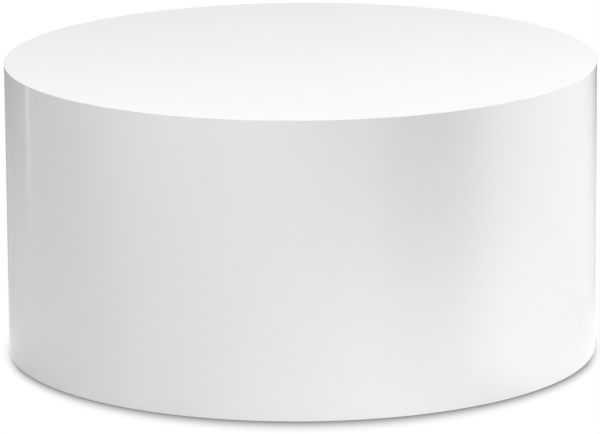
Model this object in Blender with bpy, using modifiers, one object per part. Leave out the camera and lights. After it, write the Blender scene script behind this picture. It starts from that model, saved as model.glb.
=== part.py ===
"""Round drum coffee table, built as it comes apart on a bench. Metres, +Z up, origin on the floor.

A lacquered top panel lies over a two-layer bent wall. Three plywood rings and six uprights hold the
wall round, and six levelling feet under the base ring carry the drum just clear of the floor.
"""

import math

import bmesh
import bpy
from mathutils import Matrix, Vector

# Overall size
DIAMETER = 0.9144
HEIGHT = 0.4572
WALL_LIFT = 0.0025

# Boards
TOP_THICKNESS = 0.025
TOP_ARRIS = 0.002
WALL_THICKNESS = 0.006
WALL_ARRIS = 0.001
LINER_THICKNESS = 0.005
RING_THICKNESS = 0.018
RING_WIDTH = 0.080
UPRIGHT_WIDTH = 0.045
UPRIGHT_DEPTH = 0.035
UPRIGHT_COUNT = 6

# Countersunk wood screws
SCREW_SHANK_DIAMETER = 0.005
SCREW_HEAD_DIAMETER = 0.0095
SCREW_POINT = 0.007
SCREW_SINK = 0.0005
END_GRAIN_BITE = 0.042
CROSS_GRAIN_BITE = 0.016
PANEL_SCREW_COVER = 0.008

# Levelling feet: an insert nut, a threaded stem with a spanner collar and a ball, and a pad on the ball
FOOT_TRAVEL = 0.015
STEM_DIAMETER = 0.008
STEM_TIP = 0.003
STEM_CHAMFER = 0.001
COLLAR_FLATS = 0.013
COLLAR_THICKNESS = 0.005
NECK_DIAMETER = 0.006
BALL_DIAMETER = 0.011
PAD_DIAMETER = 0.040
PAD_RIM_HEIGHT = 0.004
PAD_ARRIS = 0.001
PAD_BOSS_DIAMETER = 0.020
PAD_FLOOR = 0.0022
FLANGE_DIAMETER = 0.026
FLANGE_THICKNESS = 0.002
BARREL_DIAMETER = 0.0115
BARREL_LENGTH = 0.015

# Clearances
FIT_GAP = 0.0003
SCREW_CLEARANCE = 0.0004
THREAD_CLEARANCE = 0.0003
SOCKET_CLEARANCE = 0.0003
NECK_PLAY = 0.0012
COLLAR_CLEARANCE = 0.0005
CUTTER_OVERRUN = 0.005

# Facets
DRUM_SEGMENTS = 96
PAD_SEGMENTS = 20
STEM_SEGMENTS = 12
SCREW_SEGMENTS = 12
ARRIS_STEPS = 3
BALL_STEPS = 4
HEX_SIDES = 6
SHARP_ANGLE = math.radians(35)
MERGE_DISTANCE = 0.00001

# Radii of the drum's layers, from the outside in
DRUM_RADIUS = DIAMETER / 2
LINER_RADIUS = DRUM_RADIUS - WALL_THICKNESS - FIT_GAP
RING_RADIUS = LINER_RADIUS - LINER_THICKNESS - FIT_GAP
RING_INNER_RADIUS = RING_RADIUS - RING_WIDTH
RING_MIDDLE_RADIUS = RING_RADIUS - RING_WIDTH / 2
UPRIGHT_CORNER_RADIUS = RING_RADIUS * math.cos(math.pi / DRUM_SEGMENTS)
UPRIGHT_FACE_RADIUS = math.sqrt(UPRIGHT_CORNER_RADIUS ** 2 - (UPRIGHT_WIDTH / 2) ** 2)
UPRIGHT_BACK_RADIUS = UPRIGHT_FACE_RADIUS - UPRIGHT_DEPTH
UPRIGHT_MIDDLE_RADIUS = UPRIGHT_FACE_RADIUS - UPRIGHT_DEPTH / 2

# Heights of the foot, from the floor up
SOCKET_RADIUS = BALL_DIAMETER / 2 + SOCKET_CLEARANCE
MOUTH_RADIUS = NECK_DIAMETER / 2 + NECK_PLAY
BALL_CENTRE = PAD_FLOOR + SOCKET_RADIUS
PAD_TOP = BALL_CENTRE + math.sqrt(SOCKET_RADIUS ** 2 - MOUTH_RADIUS ** 2)
COLLAR_UNDERSIDE = PAD_TOP + COLLAR_CLEARANCE
COLLAR_TOP = COLLAR_UNDERSIDE + COLLAR_THICKNESS
FLANGE_UNDERSIDE = COLLAR_TOP + FIT_GAP
FLANGE_TOP = FLANGE_UNDERSIDE + FLANGE_THICKNESS
BARREL_TOP = FLANGE_TOP + BARREL_LENGTH
STEM_TOP = BARREL_TOP + FOOT_TRAVEL + STEM_TIP

# Heights of the drum's boards
BASE_RING_UNDERSIDE = FLANGE_TOP + FIT_GAP
UPRIGHT_UNDERSIDE = BASE_RING_UNDERSIDE + RING_THICKNESS + FIT_GAP
PANEL_UNDERSIDE = HEIGHT - TOP_THICKNESS
WALL_TOP = PANEL_UNDERSIDE - FIT_GAP
TOP_RING_UNDERSIDE = WALL_TOP - RING_THICKNESS
UPRIGHT_TOP = TOP_RING_UNDERSIDE - FIT_GAP
UPRIGHT_MIDDLE = (UPRIGHT_UNDERSIDE + UPRIGHT_TOP) / 2
MIDDLE_RING_UNDERSIDE = UPRIGHT_MIDDLE - RING_THICKNESS / 2

# Screw lengths, each from the board it passes through and how far it bites
FRAME_SCREW_LENGTH = RING_THICKNESS + FIT_GAP + END_GRAIN_BITE
MIDDLE_SCREW_LENGTH = UPRIGHT_BACK_RADIUS - RING_INNER_RADIUS + CROSS_GRAIN_BITE
PANEL_SCREW_LENGTH = RING_THICKNESS + FIT_GAP + TOP_THICKNESS - PANEL_SCREW_COVER

# Places around the drum: the feet and the panel screws stand halfway between the uprights
ANGLE_STEP = 2 * math.pi / UPRIGHT_COUNT
UPRIGHT_ANGLES = [index * ANGLE_STEP for index in range(UPRIGHT_COUNT)]
FOOT_ANGLES = [angle + ANGLE_STEP / 2 for angle in UPRIGHT_ANGLES]
WALL_SEAM_ANGLE = UPRIGHT_ANGLES[0]
LINER_SEAM_ANGLE = UPRIGHT_ANGLES[1]

# Finishes: colour, roughness, metallic
FINISHES = {
    "white_lacquer": ((0.86, 0.86, 0.85), 0.08, 0.0),
    "bending_plywood": ((0.62, 0.47, 0.31), 0.6, 0.0),
    "birch_plywood": ((0.72, 0.57, 0.38), 0.55, 0.0),
    "softwood": ((0.76, 0.58, 0.36), 0.6, 0.0),
    "zinc_screw": ((0.72, 0.70, 0.62), 0.35, 1.0),
    "zinc_steel": ((0.62, 0.63, 0.65), 0.35, 1.0),
    "nylon": ((0.10, 0.10, 0.10), 0.5, 0.0),
}


def clear_scene():
    for old in list(bpy.data.objects):
        bpy.data.objects.remove(old)


def add_collection(name):
    collection = bpy.data.collections.new(name)
    bpy.context.scene.collection.children.link(collection)
    return collection


def make_finish(name):
    """A Principled material in one of the table's finishes, made once."""
    made = bpy.data.materials.get(name)
    if made:
        return made
    colour, roughness, metallic = FINISHES[name]
    made = bpy.data.materials.new(name)
    made.use_nodes = True
    shader = made.node_tree.nodes["Principled BSDF"]
    shader.inputs["Base Color"].default_value = (*colour, 1.0)
    shader.inputs["Roughness"].default_value = roughness
    shader.inputs["Metallic"].default_value = metallic
    return made


def polar(radius, angle, height):
    return Vector((radius * math.cos(angle), radius * math.sin(angle), height))


def arc_points(centre, radius, start, end, steps):
    """Points from one angle to another on a circle in a (radius, height) profile."""
    points = []
    for index in range(steps + 1):
        angle = start + (end - start) * index / steps
        points.append((centre[0] + radius * math.cos(angle), centre[1] + radius * math.sin(angle)))
    return points


def shade_round(mesh):
    mesh.shade_smooth()
    mesh.set_sharp_from_angle(angle=SHARP_ANGLE)


def applied_mesh(name, worker):
    """The worker's mesh with its modifiers applied. The worker itself is removed."""
    graph = bpy.context.evaluated_depsgraph_get()
    mesh = bpy.data.meshes.new_from_object(worker.evaluated_get(graph))
    mesh.name = name
    bpy.data.objects.remove(worker)
    shade_round(mesh)
    return mesh


def add_worker(name, mesh):
    worker = bpy.data.objects.new(name, mesh)
    bpy.context.scene.collection.objects.link(worker)
    return worker


def turned_mesh(name, profile, segments, closed=False, start=0.0):
    """Turns (radius, height) points about Z, from a start angle. The profile runs down its outer side."""
    outline = bpy.data.meshes.new(name + "_profile")
    points = [polar(radius, start, height) for radius, height in profile]
    edges = [(index, index + 1) for index in range(len(points) - 1)]
    if closed:
        edges.append((len(points) - 1, 0))
    outline.from_pydata(points, edges, [])
    worker = add_worker(name + "_lathe", outline)
    turn = worker.modifiers.new("turn", "SCREW")
    turn.steps = segments
    turn.render_steps = segments
    turn.use_merge_vertices = True
    turn.merge_threshold = MERGE_DISTANCE
    return applied_mesh(name, worker)


def fitting_mesh(name, profile, segments, closed=False):
    """A small turned piece, with its facets and not its corners on the boards' own facet lines."""
    return turned_mesh(name, profile, segments, closed, start=math.pi / segments)


def bent_mesh(name, section, start, sweep, steps):
    """A board bent about Z: a flat (radius, height) section swept through an angle."""
    shape = bmesh.new()
    corners = [shape.verts.new(polar(radius, start, height)) for radius, height in section]
    face = shape.faces.new(corners)
    bmesh.ops.spin(
        shape,
        geom=[face, *face.edges, *face.verts],
        cent=(0, 0, 0),
        axis=(0, 0, 1),
        angle=sweep,
        steps=steps,
    )
    bmesh.ops.recalc_face_normals(shape, faces=shape.faces)
    mesh = bpy.data.meshes.new(name)
    shape.to_mesh(mesh)
    shape.free()
    shade_round(mesh)
    return mesh


def box_mesh(name, size):
    shape = bmesh.new()
    bmesh.ops.create_cube(shape, size=1.0, matrix=Matrix.Diagonal((*size, 1.0)))
    mesh = bpy.data.meshes.new(name)
    shape.to_mesh(mesh)
    shape.free()
    return mesh


def add_part(name, mesh, finish, location=(0, 0, 0), rotation=(0, 0, 0), parent=None):
    part = bpy.data.objects.new(name, mesh)
    if not mesh.materials:
        mesh.materials.append(make_finish(finish))
    part.location = location
    part.rotation_euler = rotation
    part.parent = parent
    bpy.data.collections["round_coffee_table"].objects.link(part)
    return part


def add_cutter(name, mesh, location=(0, 0, 0), rotation=(0, 0, 0)):
    cutter = bpy.data.objects.new(name, mesh)
    cutter.location = location
    cutter.rotation_euler = rotation
    cutter.hide_render = True
    cutter.display_type = "WIRE"
    bpy.data.collections["cutters"].objects.link(cutter)
    return cutter


def cut(part, cutter):
    boolean = part.modifiers.new("cut_" + cutter.name, "BOOLEAN")
    boolean.operation = "DIFFERENCE"
    boolean.solver = "EXACT"
    boolean.object = cutter


def ring_mesh(name, underside):
    """A former ring: a flat plywood annulus as wide as the frame."""
    top = underside + RING_THICKNESS
    profile = [
        (RING_RADIUS, top),
        (RING_RADIUS, underside),
        (RING_INNER_RADIUS, underside),
        (RING_INNER_RADIUS, top),
    ]
    return turned_mesh(name, profile, DRUM_SEGMENTS, closed=True)


def screw_mesh(name, length):
    """A countersunk screw that points down from a board face at height 0."""
    head = SCREW_HEAD_DIAMETER / 2
    shank = SCREW_SHANK_DIAMETER / 2
    profile = [
        (0.0, -SCREW_SINK),
        (head, -SCREW_SINK),
        (shank, -SCREW_SINK - (head - shank)),
        (shank, SCREW_POINT - length),
        (0.0, -length),
    ]
    return fitting_mesh(name, profile, SCREW_SEGMENTS)


def screw_hole_mesh(name, length):
    """The hole for that screw: the same shape, wider by the clearance and open past the board face."""
    head = SCREW_HEAD_DIAMETER / 2 + SCREW_CLEARANCE
    shank = SCREW_SHANK_DIAMETER / 2 + SCREW_CLEARANCE
    bottom = -length - SCREW_CLEARANCE
    profile = [
        (0.0, CUTTER_OVERRUN),
        (head, CUTTER_OVERRUN),
        (head, -SCREW_SINK),
        (shank, -SCREW_SINK - (head - shank)),
        (shank, bottom),
        (0.0, bottom),
    ]
    return fitting_mesh(name, profile, SCREW_SEGMENTS)


def add_screws(name, length, places, boards):
    """One screw and one hole at each (location, rotation). Each hole is cut from that place's boards."""
    screw = screw_mesh(name, length)
    hole = screw_hole_mesh(name + "_hole", length)
    for number, (location, rotation) in enumerate(places, start=1):
        add_part(f"{name}_{number}", screw, "zinc_screw", location, rotation)
        cutter = add_cutter(f"{name}_hole_{number}", hole, location, rotation)
        for board in boards[number - 1]:
            cut(board, cutter)


def build_top_panel():
    arris = arc_points(
        (DRUM_RADIUS - TOP_ARRIS, HEIGHT - TOP_ARRIS), TOP_ARRIS, math.pi / 2, 0.0, ARRIS_STEPS
    )
    profile = [(0.0, HEIGHT), *arris, (DRUM_RADIUS, PANEL_UNDERSIDE), (0.0, PANEL_UNDERSIDE)]
    mesh = turned_mesh("top_panel", profile, DRUM_SEGMENTS)
    return add_part("top_panel", mesh, "white_lacquer")


def add_half_wraps(names, section, outer_radius, seam_angle, finish):
    """Two bent boards that meet at two butt seams, each a fit gap wide."""
    seam = FIT_GAP / outer_radius
    for index, name in enumerate(names):
        start = seam_angle + math.pi * index + seam / 2
        mesh = bent_mesh(name, section, start, math.pi - seam, DRUM_SEGMENTS // 2)
        add_part(name, mesh, finish)


def build_wall():
    wall_inside = DRUM_RADIUS - WALL_THICKNESS
    wall_section = [
        (DRUM_RADIUS, WALL_TOP),
        (DRUM_RADIUS, WALL_LIFT + WALL_ARRIS),
        (DRUM_RADIUS - WALL_ARRIS, WALL_LIFT),
        (wall_inside, WALL_LIFT),
        (wall_inside, WALL_TOP),
    ]
    wall_names = ("wall_panel_back", "wall_panel_front")
    add_half_wraps(wall_names, wall_section, DRUM_RADIUS, WALL_SEAM_ANGLE, "white_lacquer")
    liner_inside = LINER_RADIUS - LINER_THICKNESS
    liner_section = [
        (LINER_RADIUS, WALL_TOP),
        (LINER_RADIUS, WALL_LIFT),
        (liner_inside, WALL_LIFT),
        (liner_inside, WALL_TOP),
    ]
    liner_names = ("wall_liner_left", "wall_liner_right")
    add_half_wraps(liner_names, liner_section, LINER_RADIUS, LINER_SEAM_ANGLE, "bending_plywood")


def build_rings():
    """The three former rings, from the floor up."""
    rings = {}
    for name, underside in (
        ("base_ring", BASE_RING_UNDERSIDE),
        ("middle_ring", MIDDLE_RING_UNDERSIDE),
        ("top_ring", TOP_RING_UNDERSIDE),
    ):
        rings[name] = add_part(name, ring_mesh(name, underside), "birch_plywood")
    return rings


def build_uprights(middle_ring):
    """The posts, and the notches that let the middle ring pass around them."""
    post = box_mesh("upright", (UPRIGHT_DEPTH, UPRIGHT_WIDTH, UPRIGHT_TOP - UPRIGHT_UNDERSIDE))
    notch_depth = RING_RADIUS - UPRIGHT_BACK_RADIUS + FIT_GAP + CUTTER_OVERRUN
    notch_width = UPRIGHT_WIDTH + 2 * FIT_GAP
    notch = box_mesh("notch", (notch_depth, notch_width, RING_THICKNESS + 2 * CUTTER_OVERRUN))
    notch_radius = UPRIGHT_BACK_RADIUS - FIT_GAP + notch_depth / 2
    uprights = []
    for number, angle in enumerate(UPRIGHT_ANGLES, start=1):
        place = polar(UPRIGHT_MIDDLE_RADIUS, angle, UPRIGHT_MIDDLE)
        uprights.append(add_part(f"upright_{number}", post, "softwood", place, (0, 0, angle)))
        notch_place = polar(notch_radius, angle, UPRIGHT_MIDDLE)
        cut(middle_ring, add_cutter(f"notch_{number}", notch, notch_place, (0, 0, angle)))
    return uprights


def build_screws(top_panel, rings, uprights):
    """Base screws point up, middle screws outwards, top screws down and panel screws up."""
    base_places = []
    middle_places = []
    top_places = []
    for angle in UPRIGHT_ANGLES:
        underside = polar(UPRIGHT_MIDDLE_RADIUS, angle, BASE_RING_UNDERSIDE)
        base_places.append((underside, (math.pi, 0, angle)))
        inner_edge = polar(RING_INNER_RADIUS, angle, UPRIGHT_MIDDLE)
        middle_places.append((inner_edge, (0, -math.pi / 2, angle)))
        upper_face = polar(UPRIGHT_MIDDLE_RADIUS, angle, WALL_TOP)
        top_places.append((upper_face, (0, 0, angle)))
    panel_places = []
    for angle in FOOT_ANGLES:
        underside = polar(RING_MIDDLE_RADIUS, angle, TOP_RING_UNDERSIDE)
        panel_places.append((underside, (math.pi, 0, angle)))
    for name, length, places, ring in (
        ("base_screw", FRAME_SCREW_LENGTH, base_places, "base_ring"),
        ("middle_screw", MIDDLE_SCREW_LENGTH, middle_places, "middle_ring"),
        ("top_screw", FRAME_SCREW_LENGTH, top_places, "top_ring"),
    ):
        add_screws(name, length, places, [(rings[ring], upright) for upright in uprights])
    panel_boards = [(rings["top_ring"], top_panel)] * len(panel_places)
    add_screws("panel_screw", PANEL_SCREW_LENGTH, panel_places, panel_boards)


def insert_nut_mesh():
    bore = (STEM_DIAMETER / 2 + THREAD_CLEARANCE) / math.cos(math.pi / STEM_SEGMENTS)
    profile = [
        (BARREL_DIAMETER / 2, BARREL_TOP),
        (BARREL_DIAMETER / 2, FLANGE_TOP),
        (FLANGE_DIAMETER / 2, FLANGE_TOP),
        (FLANGE_DIAMETER / 2, FLANGE_UNDERSIDE),
        (bore, FLANGE_UNDERSIDE),
        (bore, BARREL_TOP),
    ]
    return fitting_mesh("insert_nut", profile, STEM_SEGMENTS, closed=True)


def insert_hole_mesh():
    radius = BARREL_DIAMETER / 2 + FIT_GAP
    top = BASE_RING_UNDERSIDE + RING_THICKNESS + CUTTER_OVERRUN
    bottom = BASE_RING_UNDERSIDE - CUTTER_OVERRUN
    profile = [(0.0, top), (radius, top), (radius, bottom), (0.0, bottom)]
    return fitting_mesh("insert_hole", profile, STEM_SEGMENTS)


def glide_stem_mesh():
    """The threaded stem, necked below its collar down to the ball, joined to the six-sided collar."""
    stem = STEM_DIAMETER / 2
    neck = NECK_DIAMETER / 2
    ball = BALL_DIAMETER / 2
    collar_middle = (COLLAR_UNDERSIDE + COLLAR_TOP) / 2
    ball_start = math.acos(neck / ball)
    profile = [
        (0.0, STEM_TOP),
        (stem - STEM_CHAMFER, STEM_TOP),
        (stem, STEM_TOP - STEM_CHAMFER),
        (stem, collar_middle),
        (neck, collar_middle),
        *arc_points((0.0, BALL_CENTRE), ball, ball_start, -math.pi / 2, BALL_STEPS)[:-1],
        (0.0, BALL_CENTRE - ball),
    ]
    worker = add_worker("glide_stem_worker", fitting_mesh("glide_stem_body", profile, STEM_SEGMENTS))
    corner = COLLAR_FLATS / 2 / math.cos(math.pi / HEX_SIDES)
    collar_profile = [
        (0.0, COLLAR_TOP),
        (corner, COLLAR_TOP),
        (corner, COLLAR_UNDERSIDE),
        (0.0, COLLAR_UNDERSIDE),
    ]
    collar = add_worker("collar_worker", turned_mesh("collar", collar_profile, HEX_SIDES))
    union = worker.modifiers.new("collar", "BOOLEAN")
    union.operation = "UNION"
    union.solver = "EXACT"
    union.object = collar
    mesh = applied_mesh("glide_stem", worker)
    bpy.data.objects.remove(collar)
    return mesh


def glide_pad_mesh():
    """The pad: a sloping foot with a socket that closes over the ball above its middle."""
    pad = PAD_DIAMETER / 2
    mouth_angle = math.acos(MOUTH_RADIUS / SOCKET_RADIUS)
    profile = [
        (0.0, PAD_FLOOR),
        *arc_points((0.0, BALL_CENTRE), SOCKET_RADIUS, -math.pi / 2, mouth_angle, BALL_STEPS)[1:],
        (PAD_BOSS_DIAMETER / 2, PAD_TOP),
        (pad, PAD_RIM_HEIGHT),
        (pad, PAD_ARRIS),
        (pad - PAD_ARRIS, 0.0),
        (0.0, 0.0),
    ]
    return turned_mesh("glide_pad", profile, PAD_SEGMENTS)


def build_feet(base_ring):
    """Six levelling feet. The stem and the pad hang on an empty that stands on their shared axis."""
    nut = insert_nut_mesh()
    hole = insert_hole_mesh()
    stem = glide_stem_mesh()
    pad = glide_pad_mesh()
    for number, angle in enumerate(FOOT_ANGLES, start=1):
        place = polar(RING_MIDDLE_RADIUS, angle, 0.0)
        turn = (0, 0, angle)
        add_part(f"insert_nut_{number}", nut, "zinc_steel", place, turn)
        cut(base_ring, add_cutter(f"insert_hole_{number}", hole, place, turn))
        axis = bpy.data.objects.new(f"foot_axis_{number}", None)
        axis.location = place
        axis.rotation_euler = turn
        bpy.data.collections["round_coffee_table"].objects.link(axis)
        add_part(f"glide_stem_{number}", stem, "zinc_steel", parent=axis)
        add_part(f"glide_pad_{number}", pad, "nylon", parent=axis)


def main():
    clear_scene()
    add_collection("round_coffee_table")
    add_collection("cutters")
    top_panel = build_top_panel()
    build_wall()
    rings = build_rings()
    uprights = build_uprights(rings["middle_ring"])
    build_screws(top_panel, rings, uprights)
    build_feet(rings["base_ring"])


main()
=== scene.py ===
"""Round drum coffee table: the finished surfaces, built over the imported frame. Metres, +Z up.

The lacquered top and wall, the plywood carcass, the screws and the levelling feet each have an operator,
and so does the studio that the table is shown in.
"""

import math
from typing import NamedTuple

import bpy
from bpy.props import FloatProperty, FloatVectorProperty, IntProperty, PointerProperty
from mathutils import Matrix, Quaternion, Vector


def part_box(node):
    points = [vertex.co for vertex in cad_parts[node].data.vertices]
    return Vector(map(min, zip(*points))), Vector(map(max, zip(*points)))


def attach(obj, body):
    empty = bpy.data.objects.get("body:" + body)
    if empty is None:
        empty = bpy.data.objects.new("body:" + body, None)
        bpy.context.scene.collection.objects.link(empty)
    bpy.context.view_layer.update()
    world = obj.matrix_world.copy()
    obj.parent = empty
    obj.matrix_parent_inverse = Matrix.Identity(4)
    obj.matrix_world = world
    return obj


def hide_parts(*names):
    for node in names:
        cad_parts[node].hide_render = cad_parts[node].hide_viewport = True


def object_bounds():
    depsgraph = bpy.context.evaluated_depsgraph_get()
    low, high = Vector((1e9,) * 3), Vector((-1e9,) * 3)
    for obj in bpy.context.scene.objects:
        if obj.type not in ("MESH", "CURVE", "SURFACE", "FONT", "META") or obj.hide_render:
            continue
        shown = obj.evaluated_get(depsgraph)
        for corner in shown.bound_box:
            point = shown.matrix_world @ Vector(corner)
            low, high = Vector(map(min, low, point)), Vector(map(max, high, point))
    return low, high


bl_info = {
    "name": "Round Coffee Table",
    "version": (1, 0, 0),
    "blender": (4, 5, 0),
    "location": "3D View > Sidebar > Table",
    "description": "Builds the finished surfaces of a lacquered drum table over its packed frame",
    "category": "Object",
}

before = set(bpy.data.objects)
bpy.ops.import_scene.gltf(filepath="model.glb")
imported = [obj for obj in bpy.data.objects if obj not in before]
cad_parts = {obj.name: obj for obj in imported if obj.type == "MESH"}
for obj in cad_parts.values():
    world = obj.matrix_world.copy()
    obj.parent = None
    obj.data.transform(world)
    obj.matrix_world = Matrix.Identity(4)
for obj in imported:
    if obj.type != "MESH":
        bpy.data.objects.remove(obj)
CAD_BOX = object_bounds()

# Places and sizes that the frame gives. The first upright and the first middle screw stand on the +X axis.
PANEL_LOW, PANEL_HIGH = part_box("top_panel")
WALL_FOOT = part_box("wall_panel_front")[0].z
LINER_LOW, LINER_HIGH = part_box("wall_liner_left")
POST_LOW, POST_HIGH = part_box("upright_1")
NUT_LOW, NUT_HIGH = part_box("insert_nut_1")
STEM_LOW, STEM_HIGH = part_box("glide_stem_1")
PAD_LOW, PAD_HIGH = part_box("glide_pad_1")
DRUM_RADIUS = PANEL_HIGH.x
LINER_RADIUS = -LINER_LOW.x
FULL_TURN = 2 * math.pi
COPIES = 6
WALL_SEAM_ANGLE = 0.0
LINER_SEAM_ANGLE = FULL_TURN / COPIES

# Which way each group of screws points.
SCREW_GROUPS = {"base_screw": "up", "middle_screw": "out", "top_screw": "down", "panel_screw": "up"}

MERGE_DISTANCE = 0.00001
SHARP_ANGLE = math.radians(40)
# A face less than 60 degrees from a direction counts as facing it.
FACING_COSINE = 0.5
# How far a cutter reaches past the face it cuts, in a recess and over a screw's head.
CUT_OVERLAP = 0.0001
HEAD_COVER = 0.001
HEX_SIDES = 6
SQUARE_SIDES = 4
RIDGE_SIDES = 3
HOLE_STEPS = 32
# Arris steps of an outline that has no arris.
SHARP_STEPS = 1
# The ball that rounds off a spanner collar's corners: its facets, and its shape over the collar's reach.
ROUNDING_STEPS = 48
ROUNDING_SHAPE = (1.01, 1.01, 0.72)


def length(name, description, default):
    """A setting in metres."""
    return FloatProperty(name=name, description=description, default=default, min=0.0, unit="LENGTH")


def share(name, description, default):
    """A setting between 0 and 1."""
    return FloatProperty(
        name=name, description=description, default=default, min=0.0, max=1.0, subtype="FACTOR"
    )


def number(name, description, default):
    """A setting without a unit."""
    return FloatProperty(name=name, description=description, default=default, min=0.0)


def turn(name, description, default):
    """A setting that is an angle."""
    return FloatProperty(name=name, description=description, default=default, subtype="ANGLE")


def power(name, description, default):
    """A setting in watts."""
    return FloatProperty(name=name, description=description, default=default, min=0.0, unit="POWER")


def count(name, description, default):
    """A setting that is a whole number."""
    return IntProperty(name=name, description=description, default=default, min=1, subtype="UNSIGNED")


def colour(name, description, default):
    """A setting that is a colour."""
    return FloatVectorProperty(
        name=name, description=description, default=default, min=0.0, max=1.0, subtype="COLOR"
    )


class ShellSizes(bpy.types.PropertyGroup):
    """Sizes of the lacquered top and wall"""

    top_arris: length("Top Arris", "Radius of the top panel's upper edge", 0.0008)
    wall_thickness: length("Wall Thickness", "Thickness of the outer bent board", 0.006)
    wall_arris: length("Wall Arris", "Radius of the wall's lower outer edge", 0.0004)
    segments: count("Segments", "Facets in a full turn of the drum", 384)
    arris_steps: count("Arris Steps", "Facets across each rounded edge", 6)


class CarcassSizes(bpy.types.PropertyGroup):
    """Sizes of the boards and posts inside the drum"""

    liner_thickness: length("Liner Thickness", "Thickness of the inner bent board", 0.005)
    liner_arris: length("Liner Arris", "Radius of the liner's sawn edges", 0.0004)
    ring_width: length("Ring Width", "Width of the former rings", 0.080)
    ring_arris: length("Ring Arris", "Radius of the rings' sanded edges", 0.0005)
    post_arris: length("Post Arris", "Radius of the planed edges of the uprights", 0.0025)
    joint_gap: length("Joint Gap", "Gap between a post and its notch, and round a nut in its bore", 0.0003)
    segments: count("Segments", "Facets in a full turn of the liner and the rings", 192)
    arris_steps: count("Arris Steps", "Facets across each rounded edge", 4)


class ScrewSizes(bpy.types.PropertyGroup):
    """Sizes of the countersunk wood screws"""

    head_radius: length("Head Radius", "Radius of the flat head", 0.00475)
    head_lip: length("Head Lip", "Height of the head's straight edge", 0.0003)
    core_radius: length("Core Radius", "Radius of the screw between its threads", 0.0017)
    thread_radius: length("Thread Radius", "Radius over the thread", 0.0025)
    thread_crest: length("Thread Crest", "Distance from a thread's middle to its crest", 0.00058)
    thread_pitch: length("Thread Pitch", "Distance from thread to thread", 0.0024)
    plain_length: length("Plain Length", "Length below the head that has no thread", 0.012)
    point: length("Point", "Length of the tapering tip", 0.007)
    recess_radius: length("Recess Radius", "Reach of the cross recess", 0.0027)
    recess_depth: length("Recess Depth", "Depth of the cross recess", 0.0026)
    recess_tip: length("Recess Tip", "Reach of the cross at its bottom", 0.0006)
    recess_slimness: share("Recess Slimness", "Width of each blade of the cross over its length", 0.2)
    hole_play: length("Hole Play", "Gap round a screw in its hole", 0.0002)
    segments: count("Segments", "Facets in a full turn of a screw", 32)
    thread_steps: count("Thread Steps", "Facets in a full turn of the thread", 14)


class GlideSizes(bpy.types.PropertyGroup):
    """Sizes of the insert nuts, the threaded stems and the pads"""

    flange_radius: length("Flange Radius", "Radius of the insert nut's flange", 0.013)
    flange_thickness: length("Flange Thickness", "Thickness of the insert nut's flange", 0.002)
    flange_arris: length("Flange Arris", "Radius of the flange's edges", 0.0005)
    barrel_radius: length("Barrel Radius", "Radius over the insert nut's outer thread", 0.00575)
    barrel_core: length("Barrel Core", "Radius of the barrel between its threads", 0.0052)
    barrel_crest: length("Barrel Crest", "Distance from an outer thread's middle to its crest", 0.0006)
    barrel_pitch: length("Barrel Pitch", "Distance from outer thread to outer thread", 0.003)
    bore_radius: length("Bore Radius", "Radius of the insert nut's bore", 0.00445)
    stem_radius: length("Stem Radius", "Radius over the stem's thread", 0.004)
    stem_core: length("Stem Core", "Radius of the stem between its threads", 0.0034)
    stem_crest: length("Stem Crest", "Distance from a stem thread's middle to its crest", 0.00045)
    stem_pitch: length("Stem Pitch", "How far the stem moves in one turn", 0.00125)
    stem_chamfer: length("Stem Chamfer", "Chamfer at the stem's top end", 0.0008)
    collar_flats: length("Collar Flats", "Distance across the flats of the spanner collar", 0.013)
    collar_underside: length("Collar Underside", "Height of the collar's underside", 0.0125)
    collar_thickness: length("Collar Thickness", "Thickness of the spanner collar", 0.005)
    neck_radius: length("Neck Radius", "Radius of the neck above the ball", 0.003)
    ball_radius: length("Ball Radius", "Radius of the ball under the neck", 0.0055)
    socket_play: length("Socket Play", "Gap between the ball and its socket", 0.0003)
    mouth_radius: length("Mouth Radius", "Radius of the socket's mouth round the neck", 0.0042)
    pad_floor: length("Pad Floor", "Thickness of the pad under the ball", 0.0022)
    pad_rim: length("Pad Rim", "Height of the pad's straight rim", 0.004)
    pad_arris: length("Pad Arris", "Radius of the pad's moulded edges", 0.001)
    boss_radius: length("Boss Radius", "Radius of the pad's flat top", 0.010)
    segments: count("Segments", "Facets in a full turn of a fitting", 48)
    thread_steps: count("Thread Steps", "Facets in a full turn of a thread", 24)
    ball_steps: count("Ball Steps", "Facets down the ball and its socket", 10)
    arris_steps: count("Arris Steps", "Facets across each rounded edge", 3)


class LacquerLook(bpy.types.PropertyGroup):
    """Colour, gloss and unevenness of the white lacquer"""

    paint: colour("Paint", "Colour of the lacquer", (0.86, 0.858, 0.85))
    thin_paint: colour("Thin Paint", "Colour where the lacquer lies thinner", (0.855, 0.85, 0.838))
    gloss: share("Coat Roughness", "Roughness of the polished clear film", 0.04)
    haze_low: share("Least Haze", "Least roughness of the pigment under the film", 0.26)
    haze_high: share("Most Haze", "Most roughness of the pigment under the film", 0.34)
    ripple_height: length("Ripple Height", "Height of the slow waves left by hand sanding", 0.0001)
    ripple_length: length("Ripple Length", "Distance between the slow waves", 0.12)
    peel_height: length("Peel Height", "Height of the fine dimples of sprayed lacquer", 0.000002)
    peel_length: length("Peel Length", "Distance between the fine dimples", 0.003)


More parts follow.
